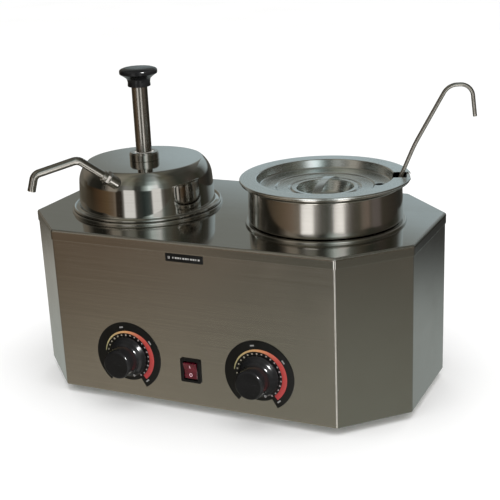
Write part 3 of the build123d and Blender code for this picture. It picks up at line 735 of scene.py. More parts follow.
def lens(name):
    g = Graph(name)
    obj = g.coords("object", (1.0, 1.0, 1.0))
    deep = g.noise(obj, 120.0, 3.0, 0.55)
    fine = g.noise(obj, 1800.0, 2.0, 0.5)
    scuff = g.noise(g.coords("object", (1500.0, 300.0, 200.0)), 1.0, 2.0, 0.5, f0=0.58, f1=0.8)
    c = g.mix(deep, (0.070, 0.003, 0.010), (0.135, 0.007, 0.020))
    c = g.mix(g.math("MULTIPLY", scuff, 0.2), c, (0.25, 0.10, 0.10))
    r = g.math("MULTIPLY_ADD", scuff, 0.15)
    g.t.nodes[-1].inputs[2].default_value = 0.16
    m = g.set(Base_Color=c, Roughness=r, Normal=g.bump(fine, 0.08, 0.00004), Transmission_Weight=0.12, IOR=1.49, Coat_Weight=0.4)
    g.bsdf.inputs["Coat Roughness"].default_value = 0.06
    return m


STEEL = (0.58, 0.565, 0.535)
M = {
    "cabinet_steel": steel("cabinet_steel", (0.57, 0.55, 0.52), 0.13, "x", 2000.0, 0.022, 0.03, wave=0.02, wave_scale=5.0, smear=0.05),
    "deck_steel": steel("deck_steel", (0.57, 0.56, 0.535), 0.065, "x", 2400.0, 0.03, 0.03, wave=0.006, wave_scale=6.0, smear=0.035, has_edge=True, edge_rough=0.30),
    "well_steel": steel("well_steel", STEEL, 0.16, "flow", 2600.0, 0.05, 0.16, has_edge=True),
    "dome_steel": steel("dome_steel", (0.60, 0.59, 0.565), 0.045, "flow", 2200.0, 0.02, 0.035, wave=0.02, wave_scale=16.0, smear=0.03, has_edge=True),
    "pot_steel": steel("pot_steel", (0.60, 0.58, 0.55), 0.12, "flow", 2400.0, 0.04, 0.10, wave=0.02, wave_scale=14.0, aniso=0.15, smear=0.04, has_edge=True),
    # lid steel: base colour far paler and bluer than the other steels, a painted reflection of the pale bluish board
    # behind
    "lid_steel": steel("lid_steel", (0.90, 0.94, 0.95), 0.22, "flow", 2400.0, 0.06, 0.16, wave=0.02, wave_scale=14.0, smear=0.05, has_edge=True),
    "tube_steel": steel("tube_steel", (0.48, 0.46, 0.43), 0.17, "flow", 2600.0, 0.05, 0.10, smear=0.06, has_edge=True),
    "fitting_steel": steel("fitting_steel", (0.58, 0.56, 0.53), 0.13, "flow", 3000.0, 0.05, 0.2, smear=0.05, has_edge=True),
    "knob_black": plastic("knob_black", (0.0030, 0.0030, 0.0031), 0.16, dust=0.05, coat=0.14, lift=(0.02, 0.02, 0.021), spec=0.14),
    "dial_face": plastic("dial_face", (0.0045, 0.0045, 0.004), 0.30, peel=0.10, dust=0.08, edge=False, lift=(0.03, 0.03, 0.028), spec=0.25),
    "switch_black": plastic("switch_black", (0.004, 0.004, 0.004), 0.30, peel=0.16, dust=0.08, edge=False, lift=(0.03, 0.03, 0.03), spec=0.25),
    "switch_red": lens("switch_red"),
    "label_black": plastic("label_black", (0.0045, 0.0045, 0.0045), 0.28, peel=0.08, dust=0.08, edge=False, lift=(0.03, 0.03, 0.03), spec=0.25),
    "foot_rubber": rubber("foot_rubber", (0.018, 0.018, 0.018)),
    "base_zinc": steel("base_zinc", (0.52, 0.54, 0.55), 0.36, "none", 260.0, 0.12, 0.3, smear=0.1),
    "screw_zinc": steel("screw_zinc", (0.55, 0.55, 0.54), 0.30, "none", 900.0, 0.10, 0.3, smear=0.1),
    "element_alloy": steel("element_alloy", (0.30, 0.29, 0.28), 0.45, "none", 700.0, 0.16, 0.5, smear=0.15),
    "thermostat_body": plastic("thermostat_body", (0.55, 0.53, 0.47), 0.42, peel=0.2, dust=0.2, edge=False, lift=(0.35, 0.33, 0.29)),
    "copper_bulb": steel("copper_bulb", (0.72, 0.40, 0.26), 0.28, "none", 900.0, 0.1, 0.25, smear=0.15),
    "wire_insulation": plastic("wire_insulation", (0.22, 0.20, 0.19), 0.45, peel=0.2, dust=0.3, edge=False),
    "acetal_white": plastic("acetal_white", (0.72, 0.71, 0.68), 0.38, peel=0.15, dust=0.15, edge=False, lift=(0.5, 0.49, 0.46)),
    "seal_rubber": rubber("seal_rubber", (0.05, 0.012, 0.01)),
}
M["ink"] = painted("ink", [(0.0, (0.26, 0.25, 0.12)), (0.16, (0.42, 0.34, 0.15)), (0.36, (0.56, 0.27, 0.10)), (0.50, (0.52, 0.12, 0.07)), (0.60, (0.47, 0.050, 0.040)), (1.0, (0.44, 0.030, 0.034))], "run")
M["ink_pale"] = painted("ink_pale", [(0.0, (0.30, 0.29, 0.22)), (0.3, (0.36, 0.32, 0.24)), (0.6, (0.34, 0.26, 0.26)), (1.0, (0.36, 0.30, 0.31))], "run")
M["ink_mark"] = painted("ink_mark", [(0.0, (0.24, 0.235, 0.23)), (0.5, (0.28, 0.275, 0.27)), (1.0, (0.30, 0.29, 0.28))], "run")
M["ink_rocker"] = painted("ink_rocker", [(0.0, (0.74, 0.42, 0.48)), (1.0, (0.78, 0.48, 0.54))], "run", 0.30)
M["ink_label"] = painted("ink_label", [(0.0, (0.40, 0.39, 0.37)), (0.5, (0.46, 0.45, 0.43)), (1.0, (0.48, 0.46, 0.45))], "run")


def paint(ob, mat):
    ob.data.materials.clear()
    ob.data.materials.append(M[mat])


def put(ob, body, slot, *nodes, mat=None):
    paint(ob, mat or slot)
    if nodes:
        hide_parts(*nodes)
    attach(ob, body)
    return ob


# ---------------------------------------------------------------------------
# Cabinet shell, deck, wells
# ---------------------------------------------------------------------------

# Shell: one folded strip with a soft foot bend and an inward foot flange.
out_d = half_len - shell_hi.x
r_foot = 2.4
sec = [(out_d + 14.0, foot_h), (out_d + r_foot + 0.8, foot_h)]
sec += [(out_d + r_foot - r_foot * math.sin(w), foot_h + r_foot - r_foot * math.cos(w)) for w in np.linspace(0, math.pi / 2, 6)]
sec += [(out_d, foot_h + r_foot + 1.2), (out_d, deck_z - 14.5), (out_d, shell_hi.z), (out_d + SHEET, shell_hi.z), (out_d + SHEET, foot_h + r_foot)]
sec += [(out_d + r_foot - (r_foot - SHEET) * math.sin(w), foot_h + r_foot - (r_foot - SHEET) * math.cos(w)) for w in np.linspace(math.pi / 2, 0, 6)[1:]]
sec += [(out_d + 14.0, foot_h + SHEET)]
loops, n, verts, faces = octa_sweep(sec, 3.2)
k = len(sec)
for i in range(k):
    a, b = i * n, ((i + 1) % k) * n
    for j in range(n):
        q = (j + 1) % n
        faces.append((a + j, a + q, b + q, b + j))
edge = []
for d, z in sec:
    edge += [0.0] * n
shell = new_object("cabinet_shell", verts, faces, None, edge, 30)


def prism(name, outline, y0, y1):
    """Cutter: an (x, z) outline run from y0 to y1."""
    m = len(outline)
    vs = [np.array([p[0], y0, p[1]]) for p in outline] + [np.array([p[0], y1, p[1]]) for p in outline]
    fs = [tuple(range(m)), tuple(range(2 * m - 1, m - 1, -1))]
    fs += [(i, m + i, m + (i + 1) % m, (i + 1) % m) for i in range(m)]
    return new_object(name, vs, fs)


cutters = []
for side in ("left", "right"):
    c = centre("control_shaft_" + side)
    cutters.append(prism("c", arc(c.x, c.z, 5.1, 0, 345, 23), panel_y - 3, panel_y + 6))
sw = centre("switch_housing")
cutters.append(prism("c", rounded_rect(21.0, 24.5, 0.8, 3, sw.x, sw.z), panel_y - 3, panel_y + 6))
gl = centre("cord_gland")
cutters.append(prism("c", arc(gl.x, gl.z, 8.2, 0, 350, 35), back_y - 6, back_y + 3))
for ix in range(13):
    for iz in (-1, 1):
        x, z = (ix - 6) * 12.0, foot_h + 120 + iz * 20
        slot_outline = arc(x, z + 12.5, 1.5, 0, 180, 8) + arc(x, z - 12.5, 1.5, 180, 360, 8)
        cutters.append(prism("c", slot_outline, back_y - 6, back_y + 3))
cut(shell, join("cutters", cutters), sharp=30)
put(shell, "cabinet", "cabinet_steel", "body_shell")

# Deck: top sheet with two wide holes, rounded edge, 12 mm turned-down skirt
# that ends in a small return.
lip_z = bx("top_deck")[0].z
rt = 2.6
sec = [(rt + 1.0, deck_z)]
sec += [(rt - rt * math.sin(w), deck_z - rt + rt * math.cos(w)) for w in np.linspace(0, math.pi / 2, 8)]
sec += [(0, deck_z - rt - 0.8), (0, lip_z + 0.3), (0, lip_z + 0.12), (0.05, lip_z + 0.03), (0.14, lip_z), (0.75, lip_z), (0.9, lip_z + 0.15), (0.9, deck_z - rt)]
sec += [(rt - (rt - SHEET) * math.sin(w), deck_z - rt + (rt - SHEET) * math.cos(w)) for w in np.linspace(math.pi / 2, 0, 6)[1:]]
sec += [(rt + 1.0, deck_z - SHEET)]
loops, n, verts, faces = octa_sweep(sec, 4.0)
for i in range(len(sec) - 1):
    a, b = i * n, (i + 1) * n
    for j in range(n):
        q = (j + 1) % n
        faces.append((a + j, a + q, b + q, b + j))
hole_r = ring_r - 89.2 + 82.6
HN = 128
holes = []
for w0 in (WL, WR):
    holes.append([np.array([w0.x + hole_r * math.cos(2 * math.pi * j / HN), w0.y + hole_r * math.sin(2 * math.pi * j / HN)]) for j in range(HN)])
cap2d = [Vector(p) for p in loops[0]] + [Vector(p) for h in holes for p in h]
links = [(j, (j + 1) % n) for j in range(n)]
for h in range(2):
    o = n + h * HN
    links += [(o + j, o + (j + 1) % HN) for j in range(HN)]
res = delaunay_2d_cdt(cap2d, links, [], 0, 1e-6)
tri = []
for f in res[2]:
    c = sum((res[0][i] for i in f), Vector((0, 0))) / len(f)
    e1, e2 = res[0][f[1]] - res[0][f[0]], res[0][f[2]] - res[0][f[0]]
    if abs(e1.x * e2.y - e1.y * e2.x) > 0.02 and all((c - Vector((w0.x, w0.y))).length > hole_r * 0.999 for w0 in (WL, WR)):
        tri.append(f)
top0 = len(verts)
base_idx = {}
for layer, z, ring0 in ((0, deck_z, 0), (1, deck_z - SHEET, (len(sec) - 1) * n)):
    idx = []
    for i, p in enumerate(res[0]):
        src = res[3][i][0] if res[3][i] else None
        if src is not None and src < n:
            idx.append(ring0 + src)
        else:
            idx.append(len(verts))
            verts.append(np.array([p[0], p[1], z]))
    base_idx[layer] = (idx, res[3])
    for f in tri:
        faces.append(tuple(idx[i] for i in (f if layer == 0 else f[::-1])))
rev = {}
for i, src in enumerate(res[3]):
    for sidx in src:
        rev[sidx] = i
for h in range(2):
    for j in range(HN):
        a, b = rev[n + h * HN + j], rev[n + h * HN + (j + 1) % HN]
        faces.append((base_idx[0][0][a], base_idx[0][0][b], base_idx[1][0][b], base_idx[1][0][a]))
# edge value across the rounded fold, most at mid-bend; deck_steel lightens and roughens the fold by it
edge = [0.0] * n
for i in range(1, 9):
    edge += [math.sin(math.pi * (i - 0.5) / 8)] * n
edge += [0.0] * (len(verts) - len(edge))
deck = new_object("deck", verts, faces, None, edge, 30)
for p in deck.data.polygons:
    if len({round(deck.data.vertices[i].co.z, 6) for i in p.vertices}) == 1:
        p.use_smooth = False
put(deck, "cabinet", "deck_steel", "top_deck")

# Wells: spun cups with a rolled rim that sits on the deck.
for side, w0 in (("left", WL), ("right", WR)):
    wr = ring_r - 89.2 + 82.3
    path = fillet(
        [(0, well_floor), (wr, well_floor), (wr, ring_top - SHEET), (ring_r - SHEET, ring_top - SHEET), (ring_r - SHEET, deck_z + 0.02)],
        [9, 1.0, 1.3],
        n=8,
    )
    ob = lathe("well_" + side + "_spun", sheet_profile(path, SHEET, True), (w0.x, w0.y))
    put(ob, "cabinet", "well_steel", "well_" + side)

# Feet: moulded rubber with a chamfered sole, recessed screw pocket.
feet = []
flo, fhi = bx("rubber_feet")
for sx in (-1, 1):
    for sy in (-1, 1):
        cx = fhi.x - 10.5 - 0.0
        cy = fhi.y - 10.5 - 0.0
        feet.append((sx * 150.0, sy * 85.0))
obs = []
for fx, fy in feet:
    prof = fillet([(2.1, 4.0), (4.6, 4.0), (4.6, 0.0), (10.4, 0.0), (9.4, foot_h + 0.85), (2.1, foot_h + 0.85)], [0.3, 0.5, 1.2, 0.5], n=5, lead=0.3)
    obs.append(lathe("foot", prof, (fx, fy), closed=True, seg=64))
put(join("rubber_foot_set", obs), "cabinet", "foot_rubber", "rubber_feet")

# ---------------------------------------------------------------------------
# Dials, switch, label
# ---------------------------------------------------------------------------


def front_shape(name, loops, y_at, depth, bevel, res=3):
    """Plate on the front panel: (x, z) outlines, standing out from y_at."""
    return solid_from_outline(name, loops, depth, bevel, (0, y_at, 0), (1, 0, 0), (0, 0, 1), res=res)


def set_run(ob, value_of):
    me = ob.data
    at = me.attributes.new("run", "FLOAT", "POINT")
    at.data.foreach_set("value", [float(value_of(v.co * 1000)) for v in me.vertices])


for side in ("left", "right"):
    lo, hi = bx("dial_plate_" + side)
    R = (hi.x - lo.x) / 2
    cx, cz = (hi.x + lo.x) / 2, hi.z - R
    depth = hi.y - lo.y
    a0, a1 = 232.0, 300.0
    ri = 29.0
    outline = arc(cx, cz, R, a1 - 360 + 0.4, a0 - 0.4, 120)
    outline += [np.array([cx + (ri + 0.5) * math.cos(math.radians(a0)), cz + (ri + 0.5) * math.sin(math.radians(a0))])]
    outline += arc(cx, cz, ri, a0 + 0.8, a1 - 0.8, 30)
    outline += [np.array([cx + (ri + 0.5) * math.cos(math.radians(a1)), cz + (ri + 0.5) * math.sin(math.radians(a1))])]
    ob = front_shape("dial_" + side, [outline], panel_y, depth, 0.22)
    put(ob, "cabinet", "dial_face", "dial_plate_" + side)
    y_print = panel_y - depth + 0.03

    def sector(r0, r1, b0, b1, m):
        return arc(cx, cz, r1, b0, b1, m) + arc(cx, cz, r0, b1, b0, m)

    # temperature band, pale yellow through orange to red, tapering at its start
    def at_angle(r, b):
        return np.array([cx + r * math.cos(math.radians(b)), cz + r * math.sin(math.radians(b))])

    def swell(q):
        return 3 * q * q - 2 * q * q * q

    turn = [q / 90 for q in range(91)]
    band_o = [at_angle(29.6 + 0.9 * min(1, q * 3) + 2.2 * swell(min(1, max(0, (q - 0.30) / 0.35))), 172 - 222 * q) for q in turn]
    band_i = [at_angle(28.5 - 0.5 * min(1, q * 3) - 0.9 * swell(min(1, max(0, (q - 0.30) / 0.35))), 172 - 222 * q) for q in turn[::-1]]
    ob = front_shape("dial_band_" + side, [band_o + band_i], y_print, 0.10, 0.02, 1)
    set_run(ob, lambda p: min(1.0, ((174 - math.degrees(math.atan2(p.z - cz, p.x - cx)) + 360) % 360) / 224))
    put(ob, "cabinet", "dial_face", mat="ink")
    ticks = []
    for q in range(22):
        b = 205 - q * 12.4
        long = 1.0 if q % 3 == 0 else 0.0
        ticks.append(sector(24.9 - 0.5 * long, 26.5, b - 1.9, b + 1.9, 4))
    ob = join("dial_ticks_" + side, [front_shape("t", [t], y_print, 0.10, 0.02, 1) for t in ticks])
    set_run(ob, lambda p: ((205 - math.degrees(math.atan2(p.z - cz, p.x - cx)) + 360) % 360) / 270)
    put(ob, "cabinet", "dial_face", mat="ink_pale")
    marks = []
    for b in (101.0, 35.0, -50.0):
        marks.append([np.array([cx, cz]) + np.array([math.cos(math.radians(b)), math.sin(math.radians(b))]) * (35.0 + u) + np.array([-math.sin(math.radians(b)), math.cos(math.radians(b))]) * v for u, v in ((-0.8, -2.3), (0.8, -2.3), (0.8, 2.3), (-0.8, 2.3))])
    ob = join("dial_marks_" + side, [front_shape("m", [m], y_print, 0.10, 0.02, 1) for m in marks])
    set_run(ob, lambda p: 0.5)
    put(ob, "cabinet", "dial_face", mat="ink_mark")

    # Knob: domed skirt, slightly drafted grip
    klo, khi = bx("dial_knob_" + side)
    kx, kz = (klo.x + khi.x) / 2, (klo.z + khi.z) / 2
    yk = lambda d: panel_y - d
    prof = fillet(
        [(3.0, 14), (3.0, 7.2), (10.5, 7.2), (10.5, 2.3), (23.8, 2.3), (23.8, 4.4), (21.5, 7.8), (17.2, 11.5), (16.3, 28.4), (0, 28.5)],
        [0.2, 0.2, 0.4, 0.7, 1.0, 6.0, 4.0, 2.4],
        n=8,
        lead=0.4,
    )
    grip = lambda w, r, z: 0.0
    ob = lathe("knob_" + side, prof, frame3=((kx, panel_y, kz), (1, 0, 0), (0, 0, 1), (0, -1, 0)), seg=160, warp=grip)
    put(ob, "knob_" + side, "knob_black", "dial_knob_" + side)
    pa = math.radians(-62)
    u = np.array([math.cos(pa), math.sin(pa)])
    v = np.array([-u[1], u[0]])
    c0 = np.array([kx, kz])
    outline = [c0 + u * a + v * b for a, b in ((17.6, -0.7), (22.6, -0.9), (22.9, 0), (22.6, 0.9), (17.6, 0.7), (17.4, 0))]
    ob = front_shape("knob_pointer_" + side, [outline], panel_y - 6.6, 2.6, 0.25, 2)
    set_run(ob, lambda p: 0.5)
    put(ob, "knob_" + side, "knob_black", mat="ink_mark")

# Rocker switch: bezel frame with a sunken throat, curved rocker, I and O.
blo, bhi = bx("switch_housing")
bw, bh = bhi.x - blo.x, bhi.z - blo.z
frame_o = rounded_rect(bw, bh, 1.6, 5, sw.x, sw.z)
frame_i = rounded_rect(16.8, 21.8, 0.7, 4, sw.x, sw.z)
ob = front_shape("switch_bezel", [frame_o, frame_i], panel_y, panel_y - blo.y, 0.55, 4)
put(ob, "cabinet", "switch_black")
ob = front_shape("switch_body", [rounded_rect(20.4, 23.9, 0.8, 3, sw.x, sw.z)], panel_y + 22.0, 17.5, 0.3, 2)
well_cut = front_shape("c", [rounded_rect(16.8, 21.8, 0.7, 3, sw.x, sw.z)], panel_y + 14.0, 20.0, 0.05, 1)
cut(ob, well_cut)
tabs = [front_shape("t", [rounded_rect(0.8, 4.8, 0.2, 2, sw.x, sw.z + q)], panel_y + 30.0, 8.2, 0.08, 1) for q in (8, 0, -8)]
put(join("switch_tabs", tabs), "cabinet", "switch_black", mat="screw_zinc")
put(ob, "cabinet", "switch_black", "switch_housing")

rlo, rhi = bx("rocker_lens")
hw = 7.9


def rocker_y(z):
    """Face of the rocker at height z off its pivot: dished between two ends."""
    t = (z + 9.6) / 19.2
    return -(1.2 + 3.2 * t) + 1.25 * math.sin(math.pi * t)


rows, cols = 25, 11
vs, fs = [], []
for i in range(rows):
    z = -9.6 + 19.2 * i / (rows - 1)
    for j in range(cols):
        x = -hw + 2 * hw * j / (cols - 1)
        soft = 0.35 * max(0.0, abs(x) / hw - 0.86) / 0.14 + 0.25 * max(0.0, abs(z) / 9.6 - 0.92) / 0.08
        vs.append(np.array([sw.x + x, panel_y + rocker_y(z) + soft, sw.z + z]))
o = len(vs)
for i in range(rows):
    z = -9.6 + 19.2 * i / (rows - 1)
    for j in range(cols):
        x = -hw + 2 * hw * j / (cols - 1)
        vs.append(np.array([sw.x + x, panel_y + 6.5 - 2.0 * (abs(z) / 9.6) ** 1.2, sw.z + z * 0.955]))
for i in range(rows - 1):
    for j in range(cols - 1):
        a = i * cols + j
        fs.append((a, a + 1, a + cols + 1, a + cols))
        fs.append((o + a, o + a + cols, o + a + cols + 1, o + a + 1))
for j in range(cols - 1):
    fs.append((j, o + j, o + j + 1, j + 1))
    a = (rows - 1) * cols + j
    fs.append((a, a + 1, o + a + 1, o + a))
for i in range(rows - 1):
    a = i * cols
    fs.append((a, a + cols, o + a + cols, o + a))
    a = i * cols + cols - 1
    fs.append((a, o + a, o + a + cols, a + cols))
ob = new_object("rocker", vs, fs, None, None, 40)
put(ob, "rocker", "switch_red", "rocker_lens")


def on_rocker(name, outlines):
    """Raised marks that follow the rocker's dished face."""
    bm = bmesh.new()
    for out in outlines:
        ring = [bm.verts.new((p[0], p[1], 0)) for p in out]
        bm.faces.new(ring)
    geo = bmesh.ops.extrude_face_region(bm, geom=bm.faces[:])
    for v in [g for g in geo["geom"] if isinstance(g, bmesh.types.BMVert)]:
        v.co.z = 1.0
    for v in bm.verts:
        x, z, top = v.co.x, v.co.y, v.co.z > 0.5
        v.co = Vector((sw.x + x, panel_y + rocker_y(z) + (-0.07 if top else 0.05), sw.z + z)) * 0.001
    me = bpy.data.meshes.new(name)
    bmesh.ops.recalc_face_normals(bm, faces=bm.faces[:])
    bm.to_mesh(me)
    bm.free()
    o2 = bpy.data.objects.new(name, me)
    bpy.context.scene.collection.objects.link(o2)
    return o2


bar = [np.array(p) for p in ((-0.5, 3.3), (0.5, 3.3), (0.5, 6.9), (-0.5, 6.9))]
parts = [bar]
for q in range(20):
    w0_, w1_ = 2 * math.pi * q / 20, 2 * math.pi * (q + 1) / 20
    parts.append([np.array([r * math.cos(w), -5.1 + r * 1.15 * math.sin(w)]) for r, w in ((1.15, w0_), (1.95, w0_), (1.95, w1_), (1.15, w1_))])
ob = on_rocker("rocker_marks", parts)
set_run(ob, lambda p: 0.5)
put(ob, "rocker", "switch_red", mat="ink_rocker")

llo, lhi = bx("label_plate")
lc = (llo + lhi) / 2
lw, lh = lhi.x - llo.x, lhi.z - llo.z
ob = front_shape("label", [rounded_rect(lw, lh, 0.8, 5, lc.x, lc.z)], panel_y, panel_y - llo.y, 0.12)
put(ob, "cabinet", "label_black", "label_plate")
bars = []
y_lab = llo.y + 0.03
for bx0, bx1, z0, z1 in ((-19.2, -18.6, -1.4, 1.4), (-17.6, -17.0, -1.4, 1.4), (-18.6, -17.6, -1.4, -0.8)):
    bars.append([np.array([lc.x + a, lc.z + b]) for a, b in ((bx0, z0), (bx1, z0), (bx1, z1), (bx0, z1))])
for q in range(11):
    a = -13.8 + q * 3.05
    b = a + (2.1 if q % 3 else 1.3)
    bars.append([np.array([lc.x + x, lc.z + z]) for x, z in ((a, -0.95), (b, -0.95), (b, 0.95), (a, 0.95))])
ob = join("label_bars", [front_shape("b", [b], y_lab, 0.07, 0.015, 1) for b in bars])
set_run(ob, lambda p: 0.2)
put(ob, "cabinet", "label_black", mat="ink_label")

# ---------------------------------------------------------------------------
# Left well: jar, domed lid, pump
# ---------------------------------------------------------------------------

jar_r = 74.6
jf = bx("food_jar")[0].z
path = fillet([(0, jf), (jar_r, jf), (jar_r, jar_top - 3.2), (jar_r + 1.6, jar_top - 2.6), (jar_r + 1.6, jar_top)], [6, 0.6, 0.6], n=7)
put(lathe("jar", sheet_profile(path, 0.7), (WL.x, WL.y)), "jar", "well_steel", "food_jar")

fl_z = bx("pump_lid")[0].z
fl_r = (bx("pump_lid")[1].x - bx("pump_lid")[0].x) / 2
bead_c = (fl_r - 1.6, fl_z + 1.6)
shoulder = arc3((67.9, disc_z - 0.25), (75.0, foot_h + 236.9), (78.3, foot_h + 224.5), 16)
top = [np.array([15.6, disc_z]), np.array([66.0, disc_z]), np.array([67.0, disc_z]), np.array([67.5, disc_z - 0.06])] + shoulder
wall = fillet([(78.3, foot_h + 224.5), (80.2, fl_z + 2.3), (bead_c[0] - 1.5, fl_z + 1.35)], [1.6], n=8)
path = top + wall[1:]
inner = side_step(path, -SHEET)
bead = arc(bead_c[0], bead_c[1], 1.6, 188, -130, 26)
prof = path + bead[1:] + inner[::-1]
ob = lathe("dome_lid", prof, (WL.x, WL.y), closed=True)
put(ob, "pump_head", "dome_steel", "pump_lid")

c_lo, c_hi = bx("collar_nut")
cr = (c_hi.x - c_lo.x) / 2
prof = fillet([(15.5, c_lo.z), (cr, c_lo.z), (cr, c_lo.z + 8.0), (16.6, c_lo.z + 8.0), (16.6, c_hi.z), (11.6, c_hi.z), (11.6, c_hi.z - 1.4), (15.5, c_hi.z - 1.4)], [0.5, 0.9, 0.15, 0.6, 0.5, 0.1], n=5, lead=0.25)
knurl = lambda w, r, z: (-0.28 * (0.5 + 0.5 * math.cos(60 * w)) if (r > cr - 0.5 and c_lo.z + 1.2 < z < c_lo.z + 7.0) else 0.0)
put(lathe("collar", prof, (WL.x, WL.y), closed=True, seg=360, warp=None), "pump_head", "fitting_steel", "collar_nut")

gb_lo, gb_hi = bx("guide_bushing")
prof = fillet([(9.28, gb_lo.z), (13.6, gb_lo.z), (13.6, c_hi.z - 1.6), (11.4, c_hi.z - 1.6), (11.4, c_hi.z - 0.5), (9.28, c_hi.z - 0.5)], [0.3, 0.1, 0.1, 0.5], n=4, lead=0.2)
put(lathe("bushing", prof, (WL.x, WL.y), closed=True, seg=96), "pump_head", NODES["guide_bushing"].get("slot", "acetal_white"), "guide_bushing")

ps_lo, ps_hi = bx("plunger_shaft")
sr = (ps_hi.x - ps_lo.x) / 2
prof = fillet([(0, ps_lo.z), (5.0, ps_lo.z), (5.0, ps_lo.z + 12.0), (sr, ps_lo.z + 12.0), (sr, ps_hi.z), (0, ps_hi.z)], [0.4, 0.2, 0.5, 0.3], n=4, lead=0.3)
put(lathe("plunger", prof, (WL.x, WL.y), seg=128), "plunger", "tube_steel", "plunger_shaft")

kt = knob_top
prof = fillet(
    [(sr, kt - 12.0), (sr, kt - 21.9), (13.3, kt - 21.9), (12.9, kt - 17.0), (13.6, kt - 13.0), (18.0, kt - 9.4), (21.8, kt - 7.2), (21.9, kt - 2.6), (17.0, kt - 0.5), (0, kt)],
    [0.3, 1.2, 3.0, 4.0, 6.0, 1.4, 2.6, 12.0],
    n=8,
    lead=0.4,
)
put(lathe("pump_button", [np.array([0, kt - 12.0])] + prof, (WL.x, WL.y), seg=160), "plunger", "knob_black", "pump_knob")

# Discharge tube and its coupling
F = np.array([WL.x + 2.3, WL.y - 74.8, foot_h + 237.4])
hd = np.array([math.cos(math.radians(-140)), math.sin(math.radians(-140)), 0.0])
up = np.array([0, 0, 1.0])
rise = math.atan2(29.2, 37.9)
sd = hd * math.cos(rise) + up * math.sin(rise)
t_lo = bx("discharge_tube")[0].z
route = [np.array([WL.x + 7.0, WL.y - 27.0, t_lo]), np.array([WL.x + 7.0, WL.y - 27.0, foot_h + 199]), F - sd * 22.0, F + hd * 37.9 + up * 29.2, F + hd * 86.6 + up * 17.6, F + hd * 91.6 - up * 0.6]
path = round_path(route, [11.0, 12.0, 11.0, 9.0], 14)
ob = tube("spout_tube", path, 4.6, 2.6, 40)
put(ob, "pump_head", "tube_steel", "discharge_tube")


def frame_on(o, ez):
    ez = np.array(ez) / np.linalg.norm(ez)
    ex = np.cross(up, ez)
    ex = ex / np.linalg.norm(ex)
    return (o, ex, np.cross(ez, ex), ez)


prof = fillet([(4.62, -5.0), (6.9, -5.0), (7.0, 5.9), (6.2, 6.1), (4.62, 6.1)], [0.3, 0.4, 0.3], n=4, lead=0.2)
boss = lathe("c1", prof, frame3=frame_on(F, sd), closed=True, seg=64)
hexo = [np.array([8.2 * math.cos(math.radians(30 + 60 * q)), 8.2 * math.sin(math.radians(30 + 60 * q))]) for q in range(6)]
fo = frame_on(F + sd * 6.0, sd)
hexn = solid_from_outline("c2", [hexo, arc(0, 0, 4.62, 0, 345, 23)], 5.0, 0.45, tuple(fo[0]), tuple(fo[1]), tuple(fo[2]), res=2)
prof = fillet([(4.62, 10.9), (6.5, 10.9), (6.5, 12.2), (5.9, 12.4), (5.9, 12.9), (6.5, 13.1), (6.4, 14.5), (4.62, 14.5)], [0.2, 0.2, 0.1, 0.1, 0.2, 0.4], n=3, lead=0.1)
ring = lathe("c3", prof, frame3=frame_on(F, sd), closed=True, seg=64)
put(join("spout_fitting", [boss, hexn, ring]), "pump_head", "fitting_steel", "spout_coupling")

# Return spring: drawn wire coil
s_lo, s_hi = bx("return_spring")
turns = 12
pts = []
z0, z1 = s_lo.z + 0.9, s_hi.z - 0.9
for j in range(turns * 36 + 1):
    q = j / (turns * 36)
    w = 2 * math.pi * turns * q
    pts.append(np.array([WL.x + 10.2 * math.cos(w), WL.y + 10.2 * math.sin(w), z0 + (z1 - z0) * q]))
ob = tube("coil_spring", pts, 0.88, 0.0, 10)
put(ob, NODES["return_spring"]["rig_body"], "tube_steel", "return_spring")
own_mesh(ob)

# ---------------------------------------------------------------------------
# Right well: pot, lid, ladle
# ---------------------------------------------------------------------------

step_z = ring_top + 0.3
path = fillet(
    [(0, pot_floor), (74.9, pot_floor), (77.4, step_z), (85.4, step_z), (84.2, foot_h + 233.0), (89.4, pot_rim - 0.8), (91.8, pot_rim - 0.8), (91.8, pot_rim - 2.6)],
    [14, 1.0, 6.6, 2.2, 0.9, 0.9],
    n=9,
    lead=0.2,
)
put(lathe("pot", sheet_profile(path, 0.8), (WR.x, WR.y)), "pot", "pot_steel", "inset_pot")

lt = lid_top
g0 = foot_h
path = fillet(
    [(0, g0 + 214.2), (26.0, g0 + 214.2), (31.5, g0 + 229.2), (36.5, g0 + 229.4), (38.4, g0 + 227.6), (40.4, g0 + 229.0), (53.0, g0 + 229.6), (54.5, g0 + 230.8), (72.4, g0 + 231.6), (75.0, lt), (93.7, lt), (93.7, lt - 1.9)],
    [6, 1.6, 1.0, 0.9, 0.9, 1.0, 1.0, 2.4, 1.4, 1.0],
    n=8,
    lead=0.5,
)
lid = lathe("lid", sheet_profile(path, -0.8), (WR.x, WR.y))
na = math.radians(17.5)
ca, sa = math.cos(na), math.sin(na)


def lid_cutter(outline, z0, z1):
    m = len(outline)
    pts = [(WR.x + p[0] * ca - p[1] * sa, WR.y + p[0] * sa + p[1] * ca) for p in outline]
    vs = [np.array([p[0], p[1], z0]) for p in pts] + [np.array([p[0], p[1], z1]) for p in pts]
    fs = [tuple(range(m)), tuple(range(2 * m - 1, m - 1, -1))]
    fs += [(i, m + i, m + (i + 1) % m, (i + 1) % m) for i in range(m)]
    return new_object("c", vs, fs)


notch = rounded_rect(40, 24.0, 3.0, 6, 73.4 + 20, 0)
slot = arc(59.2 + 0.9, 0, 3.9, -90, 90, 16) + arc(59.2 - 0.9, 0, 3.9, 90, 270, 16)
cut(lid, lid_cutter(notch, 200, 262), lid_cutter(slot, 232, 250))
put(lid, "lid", "lid_steel", "pot_lid")
